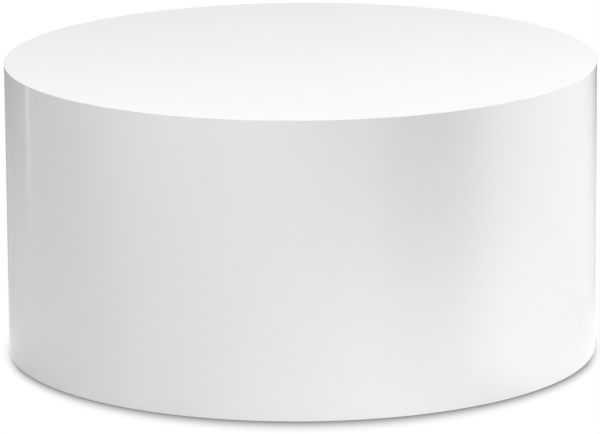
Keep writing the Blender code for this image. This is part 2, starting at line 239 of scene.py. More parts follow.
class TimberLook(bpy.types.PropertyGroup):
    """Colours and grain of the boards and posts"""

    birch_pale: colour("Birch Pale", "Birch between its grain lines", (0.74, 0.59, 0.40))
    birch_dark: colour("Birch Dark", "Birch grain lines and cross plies", (0.60, 0.44, 0.27))
    bent_pale: colour("Bending Ply Pale", "Bending plywood between its grain lines", (0.66, 0.51, 0.35))
    bent_dark: colour("Bending Ply Dark", "Bending plywood grain lines", (0.50, 0.35, 0.21))
    spring_wood: colour("Spring Wood", "Pale wood of each year ring", (0.80, 0.62, 0.40))
    autumn_wood: colour("Autumn Wood", "Dark wood of each year ring", (0.62, 0.41, 0.21))
    board_pale: colour("Fibreboard Pale", "Pale fibres of the bare board", (0.54, 0.41, 0.28))
    board_dark: colour("Fibreboard Dark", "Dark fibres of the bare board", (0.40, 0.29, 0.18))
    ply_thickness: length("Ply Thickness", "Thickness of one layer of the birch plywood", 0.0014)
    year_growth: length("Year Growth", "Usual distance from year ring to year ring", 0.0035)
    year_wander: number("Year Wander", "How many years' growth the rings stray from true circles", 2.5)


class FittingLook(bpy.types.PropertyGroup):
    """Colours of the screws, nuts, stems and pads"""

    screw_zinc: colour("Screw Zinc", "Yellow passivated zinc of the screws", (0.72, 0.70, 0.62))
    screw_bloom: colour("Screw Bloom", "Rainbow bloom on the screws", (0.70, 0.66, 0.50))
    steel_zinc: colour("Steel Zinc", "Clear zinc of the nuts and stems", (0.62, 0.63, 0.65))
    steel_bloom: colour("Steel Bloom", "Duller patches of clear zinc", (0.55, 0.57, 0.60))
    nylon: colour("Nylon", "Colour of the moulded pads", (0.10, 0.10, 0.10))
    nylon_scuff: colour("Nylon Scuff", "Paler rubbed spots on the pads", (0.14, 0.14, 0.14))


class StudioSettings(bpy.types.PropertyGroup):
    """Floor, light and camera of the studio"""

    floor_side: length("Floor Side", "Length of each side of the floor", 120.0)
    floor_colour: colour("Floor Colour", "Colour of the floor", (0.9, 0.9, 0.9))
    shade_depth: share("Shade Depth", "Brightness of the floor in the gap under the wall", 0.21)
    shade_reach: length("Shade Reach", "How far the soft shade comes out in front and behind", 0.060)
    shade_side: length("Shade Side", "How far the soft shade comes out at the wall's two sides", 0.015)
    shade_under: length("Shade Under", "How far in under the wall the shade goes on deepening", 0.011)
    shade_ends: length("Shade Ends", "How far in from the wall's two sides the shade begins to thin", 0.02)
    shade_falloff: number("Shade Falloff", "How quickly the shade thins out, 1 for evenly", 1.8)
    overhead_power: power("Overhead Power", "Power of the large soft light above the front", 80.0)
    back_left_power: power("Back Left Power", "Power of the light behind the table on the left", 12.0)
    back_right_power: power("Back Right Power", "Power of the light behind the table on the right", 15.0)
    card_radius: length("Card Radius", "Distance from the drum's axis to the card its wall reflects", 0.7)
    card_rise: length("Card Rise", "Height at which the card has its upper brightness", 0.35)
    card_gap: length("Card Gap", "Gap between the wall and the card's flat foot", 0.003)
    card_lift: length("Card Lift", "Height of the card's flat foot over the floor", 0.001)
    ceiling_height: length("Ceiling Height", "Height of the dark ceiling over the floor", 1.6)
    ceiling_radius: length("Ceiling Radius", "Radius of the dark ceiling", 1.5)
    camera_place: FloatVectorProperty(
        name="Camera Place",
        description="Where the camera stands",
        default=(-0.0024, -7.7364, 2.0203),
        subtype="XYZ",
        unit="LENGTH",
    )
    camera_tilt: turn("Camera Tilt", "How far the camera looks down from level", 0.2304)
    camera_roll: turn("Camera Roll", "How far the camera leans to one side", -0.0065)
    lens: FloatProperty(
        name="Lens",
        description="Focal length in millimetres on a sensor 36 mm wide",
        default=306.6,
        min=1.0,
        unit="CAMERA",
    )


class TableSettings(bpy.types.PropertyGroup):
    """All the settings of the round coffee table"""

    shell: PointerProperty(type=ShellSizes)
    carcass: PointerProperty(type=CarcassSizes)
    screws: PointerProperty(type=ScrewSizes)
    glides: PointerProperty(type=GlideSizes)
    lacquer: PointerProperty(type=LacquerLook)
    timber: PointerProperty(type=TimberLook)
    fittings: PointerProperty(type=FittingLook)
    studio: PointerProperty(type=StudioSettings)


def add_node(tree, kind, inputs=None, **settings):
    """A node with its settings, whose inputs are linked to sockets or set to values."""
    node = tree.nodes.new(kind)
    for name, value in settings.items():
        setattr(node, name, value)
    for key, value in (inputs or {}).items():
        socket = node.inputs[key]
        if isinstance(value, bpy.types.NodeSocket):
            tree.links.new(value, socket)
        else:
            socket.default_value = value
    return node


def add_step(tree, kind, inputs=None, **settings):
    """The first result of a new node."""
    return add_node(tree, kind, inputs, **settings).outputs[0]


def add_math(tree, operation, *values):
    """The result of one sum on sockets or numbers."""
    return add_step(tree, "ShaderNodeMath", dict(enumerate(values)), operation=operation)


def add_vector_math(tree, operation, *values):
    """The result of one sum on vectors, which is a number if it is a length."""
    node = add_node(tree, "ShaderNodeVectorMath", dict(enumerate(values)), operation=operation)
    return node.outputs["Value" if operation == "LENGTH" else "Vector"]


def add_vector(tree, **parts):
    """A vector from its X, Y and Z parts. A part that isn't given is 0."""
    return add_step(tree, "ShaderNodeCombineXYZ", parts)


def add_parts(tree, vector):
    """The X, Y and Z parts of a vector."""
    return add_node(tree, "ShaderNodeSeparateXYZ", {"Vector": vector}).outputs


def add_spun(tree, vector, angle):
    """A vector turned about Z."""
    return add_step(
        tree, "ShaderNodeVectorRotate", {"Vector": vector, "Angle": angle}, rotation_type="Z_AXIS"
    )


def add_moved(tree, geometry, **changes):
    """Geometry with a new Translation, Rotation or Scale."""
    return add_step(tree, "GeometryNodeTransform", {"Geometry": geometry, **changes})


def add_joined(tree, kind, socket_name, pieces, inputs=None, **settings):
    """The result of a node that takes several geometries in one socket."""
    node = add_node(tree, kind, inputs, **settings)
    for piece in pieces:
        tree.links.new(piece, node.inputs[socket_name])
    return node.outputs[0]


# The kind of socket that takes each kind of value.
SOCKETS = {
    float: "NodeSocketFloat",
    int: "NodeSocketInt",
    bpy.types.Material: "NodeSocketMaterial",
}


def new_tree(name, values):
    """A geometry tree whose inputs are an outline and sockets for the given values, with those sockets."""
    tree = bpy.data.node_groups.new(name, "GeometryNodeTree")
    tree.interface.new_socket("Outline", in_out="INPUT", socket_type="NodeSocketGeometry")
    for label, value in values.items():
        tree.interface.new_socket(label, in_out="INPUT", socket_type=SOCKETS[type(value)])
    tree.interface.new_socket("Piece", in_out="OUTPUT", socket_type="NodeSocketGeometry")
    return tree, add_node(tree, "NodeGroupInput").outputs


def end_tree(tree, geometry, finish_socket):
    """Ends a tree: real geometry in one finish, smooth but for its sharp edges."""
    shape = add_step(tree, "GeometryNodeRealizeInstances", {"Geometry": geometry})
    angle = add_step(tree, "GeometryNodeInputMeshEdgeAngle")
    gentle = add_math(tree, "LESS_THAN", angle, SHARP_ANGLE)
    for domain, smooth in (("FACE", True), ("EDGE", gentle)):
        inputs = {"Geometry": shape, "Shade Smooth": smooth}
        shape = add_step(tree, "GeometryNodeSetShadeSmooth", inputs, domain=domain)
    finished = add_step(tree, "GeometryNodeSetMaterial", {"Geometry": shape, "Material": finish_socket})
    add_node(tree, "NodeGroupOutput", {"Piece": finished})
    return tree


def add_rounding(tree, curve, steps, radius):
    """A curve with its corners rounded."""
    inputs = {"Curve": curve, "Count": steps, "Radius": radius, "Limit Radius": True}
    return add_step(tree, "GeometryNodeFilletCurve", inputs, mode="POLY")


def add_outline(tree, given):
    """The outline as a curve with rounded corners, laid out for a sweep about Z."""
    curve = add_step(tree, "GeometryNodeMeshToCurve", {"Mesh": given["Outline"]})
    arris = add_step(tree, "GeometryNodeInputNamedAttribute", {"Name": "arris"}, data_type="FLOAT")
    rounded = add_rounding(tree, curve, given["Arris Steps"], arris)
    parts = add_parts(tree, add_step(tree, "GeometryNodeInputPosition"))
    outwards = add_math(tree, "SUBTRACT", parts["X"], given["Sweep Radius"])
    downwards = add_math(tree, "MULTIPLY", parts["Z"], -1.0)
    laid = add_vector(tree, X=outwards, Y=downwards)
    return add_step(tree, "GeometryNodeSetPosition", {"Geometry": rounded, "Position": laid})


def add_circle(tree, sides, radius):
    """A level circle with so many sides."""
    return add_step(tree, "GeometryNodeCurvePrimitiveCircle", {"Resolution": sides, "Radius": radius})


def add_sweep(tree, path, profile, fill_caps):
    """A profile swept along a path."""
    inputs = {"Curve": path, "Profile Curve": profile, "Fill Caps": fill_caps}
    return add_step(tree, "GeometryNodeCurveToMesh", inputs)


def add_level_sweep(tree, path, profile, fill_caps):
    """A profile kept upright along a path that is level or nearly so."""
    upright = add_step(tree, "GeometryNodeSetCurveNormal", {"Curve": path}, mode="Z_UP")
    return add_sweep(tree, upright, profile, fill_caps)


def add_turned(tree, given):
    """The outline turned a full turn about Z."""
    circle = add_circle(tree, given["Segments"], given["Sweep Radius"])
    swept = add_level_sweep(tree, circle, add_outline(tree, given), False)
    return add_step(tree, "GeometryNodeMergeByDistance", {"Geometry": swept, "Distance": MERGE_DISTANCE})


def add_copies(tree, given, shape):
    """Copies of a shape on a circle about Z, each turned to face away from the middle."""
    step = add_math(tree, "DIVIDE", FULL_TURN, given["Count"])
    index = add_step(tree, "GeometryNodeInputIndex")
    angle = add_math(tree, "MULTIPLY_ADD", index, step, given["Start Angle"])
    place = add_spun(tree, add_vector(tree, X=given["Ring Radius"], Z=given["Height"]), angle)
    inputs = {
        "Points": add_step(tree, "GeometryNodePoints", {"Count": given["Count"], "Position": place}),
        "Instance": shape,
        "Rotation": add_vector(tree, Y=given["Tilt"], Z=angle),
    }
    return add_step(tree, "GeometryNodeInstanceOnPoints", inputs)


def add_thread(tree, given, body):
    """The body with a right-hand ridge of three sides wound round it, its crest on the thread's radius."""
    middle = add_math(tree, "SUBTRACT", given["Thread Radius"], given["Thread Crest"])
    inputs = {
        "Resolution": given["Thread Steps"],
        "Rotations": add_math(tree, "DIVIDE", given["Thread Length"], given["Thread Pitch"]),
        "Start Radius": middle,
        "End Radius": middle,
        "Height": given["Thread Length"],
        "Reverse": True,
    }
    helix = add_step(tree, "GeometryNodeCurveSpiral", inputs)
    ridge = add_level_sweep(tree, helix, add_circle(tree, RIDGE_SIDES, given["Thread Crest"]), True)
    wound = add_moved(tree, ridge, Translation=add_vector(tree, Z=given["Thread Start"]))
    return add_joined(tree, "GeometryNodeJoinGeometry", "Geometry", (body, wound))


def add_cut(tree, body, cutters):
    """The body with the cutters' shapes taken out of it."""
    settings = {"operation": "DIFFERENCE", "solver": "MANIFOLD"}
    return add_joined(tree, "GeometryNodeMeshBoolean", "Mesh 2", cutters, {"Mesh 1": body}, **settings)


def add_cone(tree, sides, bottom, top, height):
    """A cut-off cone that stands on the origin."""
    inputs = {"Vertices": sides, "Radius Bottom": bottom, "Radius Top": top, "Depth": height}
    return add_step(tree, "GeometryNodeMeshCone", inputs)


def add_cylinder(tree, sides, radius, height):
    """A cylinder with its middle at the origin."""
    inputs = {"Vertices": sides, "Radius": radius, "Depth": height}
    return add_step(tree, "GeometryNodeMeshCylinder", inputs)


def add_recess(tree, given, body):
    """The body with a tapering cross cut into its lower end."""
    to_corner = 1.0 / math.cos(math.pi / SQUARE_SIDES)
    tip = add_math(tree, "MULTIPLY", given["Recess Tip"], to_corner)
    mouth = add_math(tree, "MULTIPLY", given["Recess Radius"], to_corner)
    wedge = add_cone(tree, SQUARE_SIDES, mouth, tip, given["Recess Depth"])
    square = add_moved(tree, wedge, Rotation=(0.0, 0.0, math.pi / SQUARE_SIDES))
    slim = add_vector(tree, X=1.0, Y=given["Recess Slimness"], Z=1.0)
    started = (0.0, 0.0, -CUT_OVERLAP)
    blades = [
        add_moved(tree, square, Translation=started, Rotation=(0.0, 0.0, angle), Scale=slim)
        for angle in (0.0, math.pi / 2)
    ]
    return add_cut(tree, body, blades)


def add_drill(tree, own):
    """A straight hole's shape, with its middle at the origin."""
    return add_cylinder(tree, HOLE_STEPS, own["Radius"], own["Depth"])


def add_countersink(tree, own):
    """The cone that lets a screw's head in, with the head's face at the origin."""
    mouth = add_math(tree, "ADD", own["Head Radius"], HEAD_COVER)
    slope = add_math(tree, "SUBTRACT", own["Head Radius"], own["Radius"])
    height = add_math(tree, "ADD", slope, HEAD_COVER)
    cone = add_cone(tree, HOLE_STEPS, mouth, own["Radius"], height)
    return add_moved(tree, cone, Translation=(0.0, 0.0, -HEAD_COVER))


def add_notch(tree, own):
    """A square notch's shape, with its middle at the origin."""
    size = add_vector(tree, X=own["Depth"], Y=own["Width"], Z=own["Thickness"])
    return add_step(tree, "GeometryNodeMeshCube", {"Size": size})


def cut_set(prefix, add_cutters):
    """The step that makes a set of like cuts round a ring, from the inputs that begin with its prefix."""

    def add_cuts(tree, given, body):
        labels = [label for label in given.keys() if label.startswith(prefix)]
        own = {label.removeprefix(f"{prefix} "): given[label] for label in labels}
        cutters = [add_copies(tree, own, add_cutter(tree, own)) for add_cutter in add_cutters]
        return add_cut(tree, body, cutters)

    return add_cuts


def add_collar(tree, given, body):
    """The body with a six-sided spanner collar whose corners are rounded off."""
    inside = add_math(tree, "DIVIDE", given["Collar Flats"], 2.0)
    corner = add_math(tree, "DIVIDE", inside, math.cos(math.pi / HEX_SIDES))
    prism = add_cylinder(tree, HEX_SIDES, corner, given["Collar Thickness"])
    inputs = {"Segments": ROUNDING_STEPS, "Rings": ROUNDING_STEPS // 2, "Radius": corner}
    ball = add_moved(tree, add_step(tree, "GeometryNodeMeshUVSphere", inputs), Scale=ROUNDING_SHAPE)
    settings = {"operation": "INTERSECT", "solver": "MANIFOLD"}
    rounded = add_joined(tree, "GeometryNodeMeshBoolean", "Mesh 2", (prism, ball), **settings)
    half = add_math(tree, "DIVIDE", given["Collar Thickness"], 2.0)
    middle = add_math(tree, "ADD", given["Collar Underside"], half)
    raised = add_moved(tree, rounded, Translation=add_vector(tree, Z=middle))
    return add_joined(tree, "GeometryNodeJoinGeometry", "Geometry", (body, raised))


def turning_tree(name, values, details):
    """Turns an outline a full turn about Z and adds details to it, step by step."""
    tree, given = new_tree(name, values)
    shape = add_turned(tree, given)
    for add_detail in details:
        shape = add_detail(tree, given, shape)
    return end_tree(tree, shape, given["Finish"])


def bending_tree(name, values):
    """Bends a closed section round part of a turn about Z, with both ends capped."""
    tree, given = new_tree(name, values)
    inputs = {
        "Resolution": add_math(tree, "ADD", given["Segments"], 1.0),
        "Radius": given["Sweep Radius"],
        "Start Angle": given["Start Angle"],
        "Sweep Angle": given["Sweep Angle"],
    }
    arc = add_step(tree, "GeometryNodeCurveArc", inputs)
    swept = add_level_sweep(tree, arc, add_outline(tree, given), True)
    return end_tree(tree, swept, given["Finish"])


def post_tree(name, values):
    """Square posts with planed edges round the drum. Each keeps its own places for its grain."""
    tree, given = new_tree(name, values)
    inputs = {"Width": given["Depth"], "Height": given["Width"]}
    section = add_step(tree, "GeometryNodeCurvePrimitiveQuadrilateral", inputs, mode="RECTANGLE")
    planed = add_rounding(tree, section, given["Arris Steps"], given["Arris"])
    line = add_step(tree, "GeometryNodeCurvePrimitiveLine", {"End": add_vector(tree, Z=given["Length"])})
    inputs = {
        "Geometry": add_sweep(tree, line, planed, True),
        "Name": "timber_place",
        "Value": add_step(tree, "GeometryNodeInputPosition"),
    }
    settings = {"data_type": "FLOAT_VECTOR", "domain": "POINT"}
    post = add_step(tree, "GeometryNodeStoreNamedAttribute", inputs, **settings)
    return end_tree(tree, add_copies(tree, given, post), given["Finish"])


def outline_object(name, corners=(), closed=False):
    """An object whose edges join (radius, height, arris) corners, for a tree to sweep."""
    mesh = bpy.data.meshes.new(name)
    edges = [(index, index + 1) for index in range(len(corners) - 1)]
    if closed:
        edges.append((len(corners) - 1, 0))
    mesh.from_pydata([(radius, 0.0, height) for radius, height, arris in corners], edges, [])
    rounding = mesh.attributes.new("arris", "FLOAT", "POINT")
    rounding.data.foreach_set("value", [arris for radius, height, arris in corners])
    piece = bpy.data.objects.new(name, mesh)
    bpy.context.scene.collection.objects.link(piece)
    return piece


def run_tree(piece, tree, values):
    """Runs a geometry tree on an object and keeps its result as the object's plain mesh."""
    modifier = piece.modifiers.new(tree.name, "NODES")
    modifier.node_group = tree
    for socket in tree.interface.items_tree:
        if socket.in_out == "INPUT" and socket.name in values:
            modifier[socket.identifier] = values[socket.name]
    weighted = piece.modifiers.new("weighted_normals", "WEIGHTED_NORMAL")
    weighted.keep_sharp = True
    graph = bpy.context.evaluated_depsgraph_get()
    mesh = bpy.data.meshes.new_from_object(piece.evaluated_get(graph))
    piece.modifiers.clear()
    piece.data = mesh
    mesh.name = piece.name
    mesh.materials.clear()
    mesh.materials.append(values["Finish"])
    return piece


def turned_piece(name, kind, corners, values, *details, closed=False):
    """A piece turned about Z, made by the tree that all pieces of its kind share."""
    tree = bpy.data.node_groups.get(kind) or turning_tree(kind, values, details)
    return run_tree(outline_object(name, corners, closed), tree, values)


def sweep_inputs(radius, segments, arris_steps, material):
    """What every tree that sweeps an outline is given."""
    return {"Sweep Radius": radius, "Segments": segments, "Arris Steps": arris_steps, "Finish": material}


def ring_inputs(copies, angle, radius, height=0.0, tilt=0.0):
    """Where like shapes stand: how many, the first one's angle, and its distance out, height and tilt."""
    return {"Count": copies, "Start Angle": angle, "Ring Radius": radius, "Height": height, "Tilt": tilt}


THREAD_SECTION = ("radius", "crest", "pitch")


def thread_inputs(sizes, prefix, start, reach):
    """What a thread is given. The settings for its radius, crest and pitch begin with the prefix."""
    section = {f"Thread {part.title()}": getattr(sizes, f"{prefix}_{part}") for part in THREAD_SECTION}
    return {
        **section,
        "Thread Start": start,
        "Thread Length": reach,
        "Thread Steps": sizes.thread_steps,
    }


def named_inputs(sizes, *names):
    """Settings under a tree's own labels: recess_tip goes in as Recess Tip."""
    return {name.replace("_", " ").title(): getattr(sizes, name) for name in names}


def board_section(inside, outside, bottom, top, arris, outer_foot_arris):
    """Corners of a board's upright section, up its inner face and down its outer one."""
    return [
        (inside, bottom, arris),
        (inside, top, arris),
        (outside, top, arris),
        (outside, bottom, outer_foot_arris),
    ]


def arc_corners(centre, radius, start, end, steps):
    """Plain corners from one angle to another on a circle in an outline about the axis."""
    corners = []
    for index in range(steps + 1):
        angle = start + (end - start) * index / steps
        corners.append((radius * math.cos(angle), centre + radius * math.sin(angle), 0.0))
    return corners


def true_normals(mesh):
    """Gives each corner of a turned surface the exact direction of its true round, so no facet shows."""
    normals = []
    for corner, smooth in zip(mesh.loops, mesh.corner_normals):
        normal = smooth.vector.copy()
        outwards = mesh.vertices[corner.vertex_index].co.copy()
        outwards.z = 0.0
        level = Vector((normal.x, normal.y, 0.0))
        least = level.length * outwards.length * FACING_COSINE
        if outwards.length > MERGE_DISTANCE and abs(level.dot(outwards)) > least:
            outwards *= math.copysign(level.length, level.dot(outwards)) / outwards.length
            normal = Vector((outwards.x, outwards.y, normal.z))
        normals.append(normal)
    mesh.normals_split_custom_set(normals)


def faces_down(face):
    """Whether a face is on an underside."""
    return face.normal.z < -FACING_COSINE


def faces_inwards(face):
    """Whether a face looks towards the drum's axis."""
    return face.normal.x * face.center.x + face.normal.y * face.center.y < 0.0


def leave_bare(piece, board, is_bare):
    """Puts the bare board on the faces that the spray gun doesn't reach."""
    piece.data.materials.append(board)
    for face in piece.data.polygons:
        if is_bare(face):
            face.material_index = 1


def dress(piece, body, slot, *nodes):
    """Puts a piece on its body and in place of its nodes. The slot it is given is not used."""
    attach(piece, body)
    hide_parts(*nodes)


def numbered(name):
    """The names of six like nodes."""
    return [f"{name}_{copy}" for copy in range(1, COPIES + 1)]


class Marks(NamedTuple):
    """Marks of one kind in a finish, drawn by noise."""

    lengths: tuple  # along X, Y and Z, in metres
    detail: float = 2.0  # how finely their outlines break up
    start: float = 0.0  # the noise at which a mark begins to show
    end: float = 1.0  # the noise at which it shows most
    strength: float = 1.0  # how far it covers the ground there
    depth: float = 0.0  # its depth in the surface, in metres


BENT_FIGURE = Marks((0.05, 0.05, 0.5), strength=0.5)
BENT_GRAIN = Marks((0.0025, 0.0025, 0.12), detail=4.0, start=0.35, end=0.75, depth=0.00015)
BIRCH_FIGURE = Marks((0.25, 0.03, 0.03), strength=0.45)
BIRCH_GRAIN = Marks((0.06, 0.0018, 0.0018), detail=4.0, start=0.4, end=0.8, strength=0.8, depth=0.0001)
BIRCH_FIBRES = Marks((0.002, 0.002, 0.0004), detail=3.0, strength=0.5)
YEAR_STRAYS = Marks((0.02, 0.02, 0.3))
POST_FIBRES = Marks((0.0012, 0.0012, 0.05), detail=4.0, start=0.3, strength=0.5, depth=0.0001)
POST_TONES = Marks((0.3, 0.3, 0.3), detail=0.0, start=0.3, strength=0.5)
BOARD_SPECKS = Marks((0.0012, 0.0012, 0.0012), detail=5.0, start=0.3, end=0.7, depth=0.00008)
BOARD_CLOUDS = Marks((0.06, 0.06, 0.06), strength=0.4)
ZINC_CLOUDS = Marks((0.004, 0.004, 0.004), detail=3.0)
ZINC_SCRATCHES = Marks((0.0006, 0.0006, 0.0001), detail=4.0, depth=0.00001)
NYLON_SPARK = Marks((0.0005, 0.0005, 0.0005), detail=3.0, depth=0.00002)
NYLON_RUBS = Marks((0.008, 0.008, 0.008), detail=3.0)

# How strongly each finish bends light, and how much the pigment under the clear film reflects.
LACQUER_IOR = 1.5
TIMBER_IOR = 1.45
NYLON_IOR = 1.53
PIGMENT_SPECULAR = 0.25
# Least and most roughness.
TIMBER_ROUGHNESS = (0.55, 0.75)
ZINC_ROUGHNESS = (0.25, 0.45)
NYLON_ROUGHNESS = (0.42, 0.6)
# Plies in the bending plywood, and layers of birch from one dark layer to the next.
BENT_PLIES = 3
PLY_REPEAT = 2.0
# Each post's place in its tree, from the heart, and how far into a year the autumn wood begins.
TO_HEART = (0.045, 0.03, 0.0)
AUTUMN_START = 0.3
# What a place is multiplied by to lay it level.
LEVEL = (1.0, 1.0, 0.0)


def finish(name, make, *given):
    """The named finish, made at its first use. Its name is not one of the frame's own plain finishes."""
    return bpy.data.materials.get(name) or make(name, *given)


def new_material(name):
    """A material with no nodes yet, and its node tree."""
    material = bpy.data.materials.new(name)
    material.use_nodes = True
    material.node_tree.nodes.clear()
    return material, material.node_tree


def end_material(tree, surface):
    """Ends a material in a shader."""
    add_node(tree, "ShaderNodeOutputMaterial", {"Surface": surface})


def add_place(tree):
    """Places on the piece in metres."""
    return add_node(tree, "ShaderNodeTexCoord").outputs["Object"]


def add_noise(tree, place, marks):
    """Noise between 0 and 1 that draws the marks."""
    scaled = add_vector_math(tree, "MULTIPLY", place, tuple(1.0 / mark for mark in marks.lengths))
    return add_step(tree, "ShaderNodeTexNoise", {"Vector": scaled, "Scale": 1.0, "Detail": marks.detail})


def add_range(tree, value, low, high, start=0.0, end=1.0):
    """A value between start and end mapped to low and high."""
    inputs = {"Value": value, "From Min": start, "From Max": end, "To Min": low, "To Max": high}
    return add_step(tree, "ShaderNodeMapRange", inputs)


def add_mix(tree, share_of_second, first, second):
    """Two colours mixed. Each is a socket or a setting."""
    mixed = add_node(tree, "ShaderNodeMix", {"Factor": share_of_second}, data_type="RGBA")
    for label, given in (("A", first), ("B", second)):
        socket = next(socket for socket in mixed.inputs if socket.name == label and socket.type == "RGBA")
        if isinstance(given, bpy.types.NodeSocket):
            tree.links.new(given, socket)
        else:
            socket.default_value = (*given, 1.0)
    return next(socket for socket in mixed.outputs if socket.type == "RGBA")


def add_marked(tree, noise, marks, ground, mark):
    """A ground colour with marks of another colour on it."""
    return add_mix(tree, add_range(tree, noise, 0.0, marks.strength, marks.start, marks.end), ground, mark)


def add_bump(tree, height, distance, under=None):
    """A bump as deep as the distance, over another bump if one is given."""
    bump = add_node(tree, "ShaderNodeBump", {"Strength": 1.0, "Distance": distance, "Height": height})
    if under:
        tree.links.new(under, bump.inputs["Normal"])
    return bump.outputs["Normal"]


def end_worn(tree, noise, depth, roughness, shading):
    """Ends a material that its marks make uneven and rough in places."""
    worn = {"Roughness": add_range(tree, noise, *roughness), "Normal": add_bump(tree, noise, depth)}
    end_material(tree, add_step(tree, "ShaderNodeBsdfPrincipled", {**shading, **worn}))


def end_timber(tree, noise, depth, shown):
    """Ends a bare timber material, rough and open along its grain."""
    end_worn(tree, noise, depth, TIMBER_ROUGHNESS, {"Base Color": shown, "IOR": TIMBER_IOR})


def sprayed_lacquer(name, look):
    """Sprayed and polished white lacquer, with slow sanding waves and a fine orange peel."""
    material, tree = new_material(name)
    place = add_place(tree)
    ripple = add_noise(tree, place, Marks((look.ripple_length,) * 3, detail=1.0))
    peel = add_noise(tree, place, Marks((look.peel_length,) * 3))
    waves = add_bump(tree, ripple, look.ripple_height)
    dimples = add_bump(tree, peel, look.peel_height, under=waves)
    shading = {
        "Base Color": add_mix(tree, ripple, look.paint, look.thin_paint),
        "Roughness": add_range(tree, ripple, look.haze_low, look.haze_high),
        "IOR": LACQUER_IOR,
        "Specular IOR Level": PIGMENT_SPECULAR,
        "Coat Weight": 1.0,
        "Coat Roughness": look.gloss,
        "Coat IOR": LACQUER_IOR,
        "Normal": dimples,
        "Coat Normal": dimples,
    }
    end_material(tree, add_step(tree, "ShaderNodeBsdfPrincipled", shading))
    return material


def add_round_place(tree, seam_angle):
    """Places on a bent board laid flat: along its bend from the seam, through it, and up it."""
    parts = add_parts(tree, add_spun(tree, add_place(tree), math.pi - seam_angle))
    angle = add_math(tree, "ARCTAN2", parts["Y"], parts["X"])
    radius = add_vector_math(tree, "LENGTH", add_vector(tree, X=parts["X"], Y=parts["Y"]))
    along = add_math(tree, "MULTIPLY", angle, LINER_RADIUS)
    return add_vector(tree, X=along, Y=radius, Z=parts["Z"]), radius


def add_edge_plies(tree, depth, ply_thickness):
    """0 and 1 in turn through the layers of a board."""
    layer = add_math(tree, "FLOOR", add_math(tree, "DIVIDE", depth, ply_thickness))
    return add_math(tree, "FLOORED_MODULO", layer, PLY_REPEAT)


def add_levelness(tree):
    """1 on level faces and 0 on upright ones."""
    normal = add_node(tree, "ShaderNodeNewGeometry").outputs["Normal"]
    steepness = add_math(tree, "ABSOLUTE", add_parts(tree, normal)["Z"])
    return add_math(tree, "GREATER_THAN", steepness, FACING_COSINE)


def bending_plywood(name, look, thickness):
    """Bending plywood with its grain upright, and three plies on its level edges."""
    material, tree = new_material(name)
    place, radius = add_round_place(tree, LINER_SEAM_ANGLE)
    figure = add_noise(tree, place, BENT_FIGURE)
    grain = add_noise(tree, place, BENT_GRAIN)
    face = add_marked(tree, grain, BENT_GRAIN, look.bent_pale, look.bent_dark)
    clouded = add_marked(tree, figure, BENT_FIGURE, face, look.bent_dark)
    plies = add_edge_plies(tree, radius, thickness / BENT_PLIES)
    edge = add_mix(tree, plies, look.bent_dark, look.bent_pale)
    shown = add_mix(tree, add_levelness(tree), clouded, edge)
    end_timber(tree, grain, BENT_GRAIN.depth, shown)
    return material


def birch_plywood(name, look, underside):
    """Birch plywood with its grain along X on its faces, and its plies on its edges."""
    material, tree = new_material(name)
    place = add_place(tree)
    figure = add_noise(tree, place, BIRCH_FIGURE)
    grain = add_noise(tree, place, BIRCH_GRAIN)
    fibres = add_noise(tree, place, BIRCH_FIBRES)
    face = add_marked(tree, grain, BIRCH_GRAIN, look.birch_pale, look.birch_dark)
    clouded = add_marked(tree, figure, BIRCH_FIGURE, face, look.birch_dark)
    depth = add_math(tree, "SUBTRACT", add_parts(tree, place)["Z"], underside)
    plies = add_edge_plies(tree, depth, look.ply_thickness)
    layers = add_mix(tree, plies, look.birch_dark, look.birch_pale)
    edge = add_marked(tree, fibres, BIRCH_FIBRES, layers, look.birch_dark)
    shown = add_mix(tree, add_levelness(tree), edge, clouded)
    end_timber(tree, grain, BIRCH_GRAIN.depth, shown)
    return material


def softwood(name, look):
    """Planed softwood whose year rings run up each post, from the post's own places."""
    material, tree = new_material(name)
    own = add_node(tree, "ShaderNodeAttribute", attribute_name="timber_place").outputs["Vector"]
    from_heart = add_vector_math(tree, "MULTIPLY", add_vector_math(tree, "ADD", own, TO_HEART), LEVEL)
    radius = add_vector_math(tree, "LENGTH", from_heart)
    strays = add_math(tree, "MULTIPLY", add_noise(tree, own, YEAR_STRAYS), look.year_wander)
    years = add_math(tree, "ADD", add_math(tree, "DIVIDE", radius, look.year_growth), strays)
    autumn = add_range(tree, add_math(tree, "FRACT", years), 0.0, 1.0, start=AUTUMN_START)
    fibres = add_noise(tree, own, POST_FIBRES)
    tones = add_noise(tree, add_place(tree), POST_TONES)
    year = add_mix(tree, autumn, look.spring_wood, look.autumn_wood)
    shaded = add_marked(tree, fibres, POST_FIBRES, year, look.autumn_wood)
    shown = add_marked(tree, tones, POST_TONES, shaded, look.spring_wood)
    end_timber(tree, fibres, POST_FIBRES.depth, shown)
    return material


def fibreboard(name, look):
    """Bare fibreboard: felted specks of two browns."""
    material, tree = new_material(name)
    place = add_place(tree)
    specks = add_noise(tree, place, BOARD_SPECKS)
    clouds = add_noise(tree, place, BOARD_CLOUDS)
    felt = add_marked(tree, specks, BOARD_SPECKS, look.board_pale, look.board_dark)
    shown = add_marked(tree, clouds, BOARD_CLOUDS, felt, look.board_pale)
    end_timber(tree, specks, BOARD_SPECKS.depth, shown)
    return material


def plated_metal(name, plate, bloom):
    """Zinc plate with drifting colour and fine drawn scratches."""
    material, tree = new_material(name)
    place = add_place(tree)
    shown = add_mix(tree, add_noise(tree, place, ZINC_CLOUDS), plate, bloom)
    scratches = add_noise(tree, place, ZINC_SCRATCHES)
    shading = {"Base Color": shown, "Metallic": 1.0}
    end_worn(tree, scratches, ZINC_SCRATCHES.depth, ZINC_ROUGHNESS, shading)
    return material


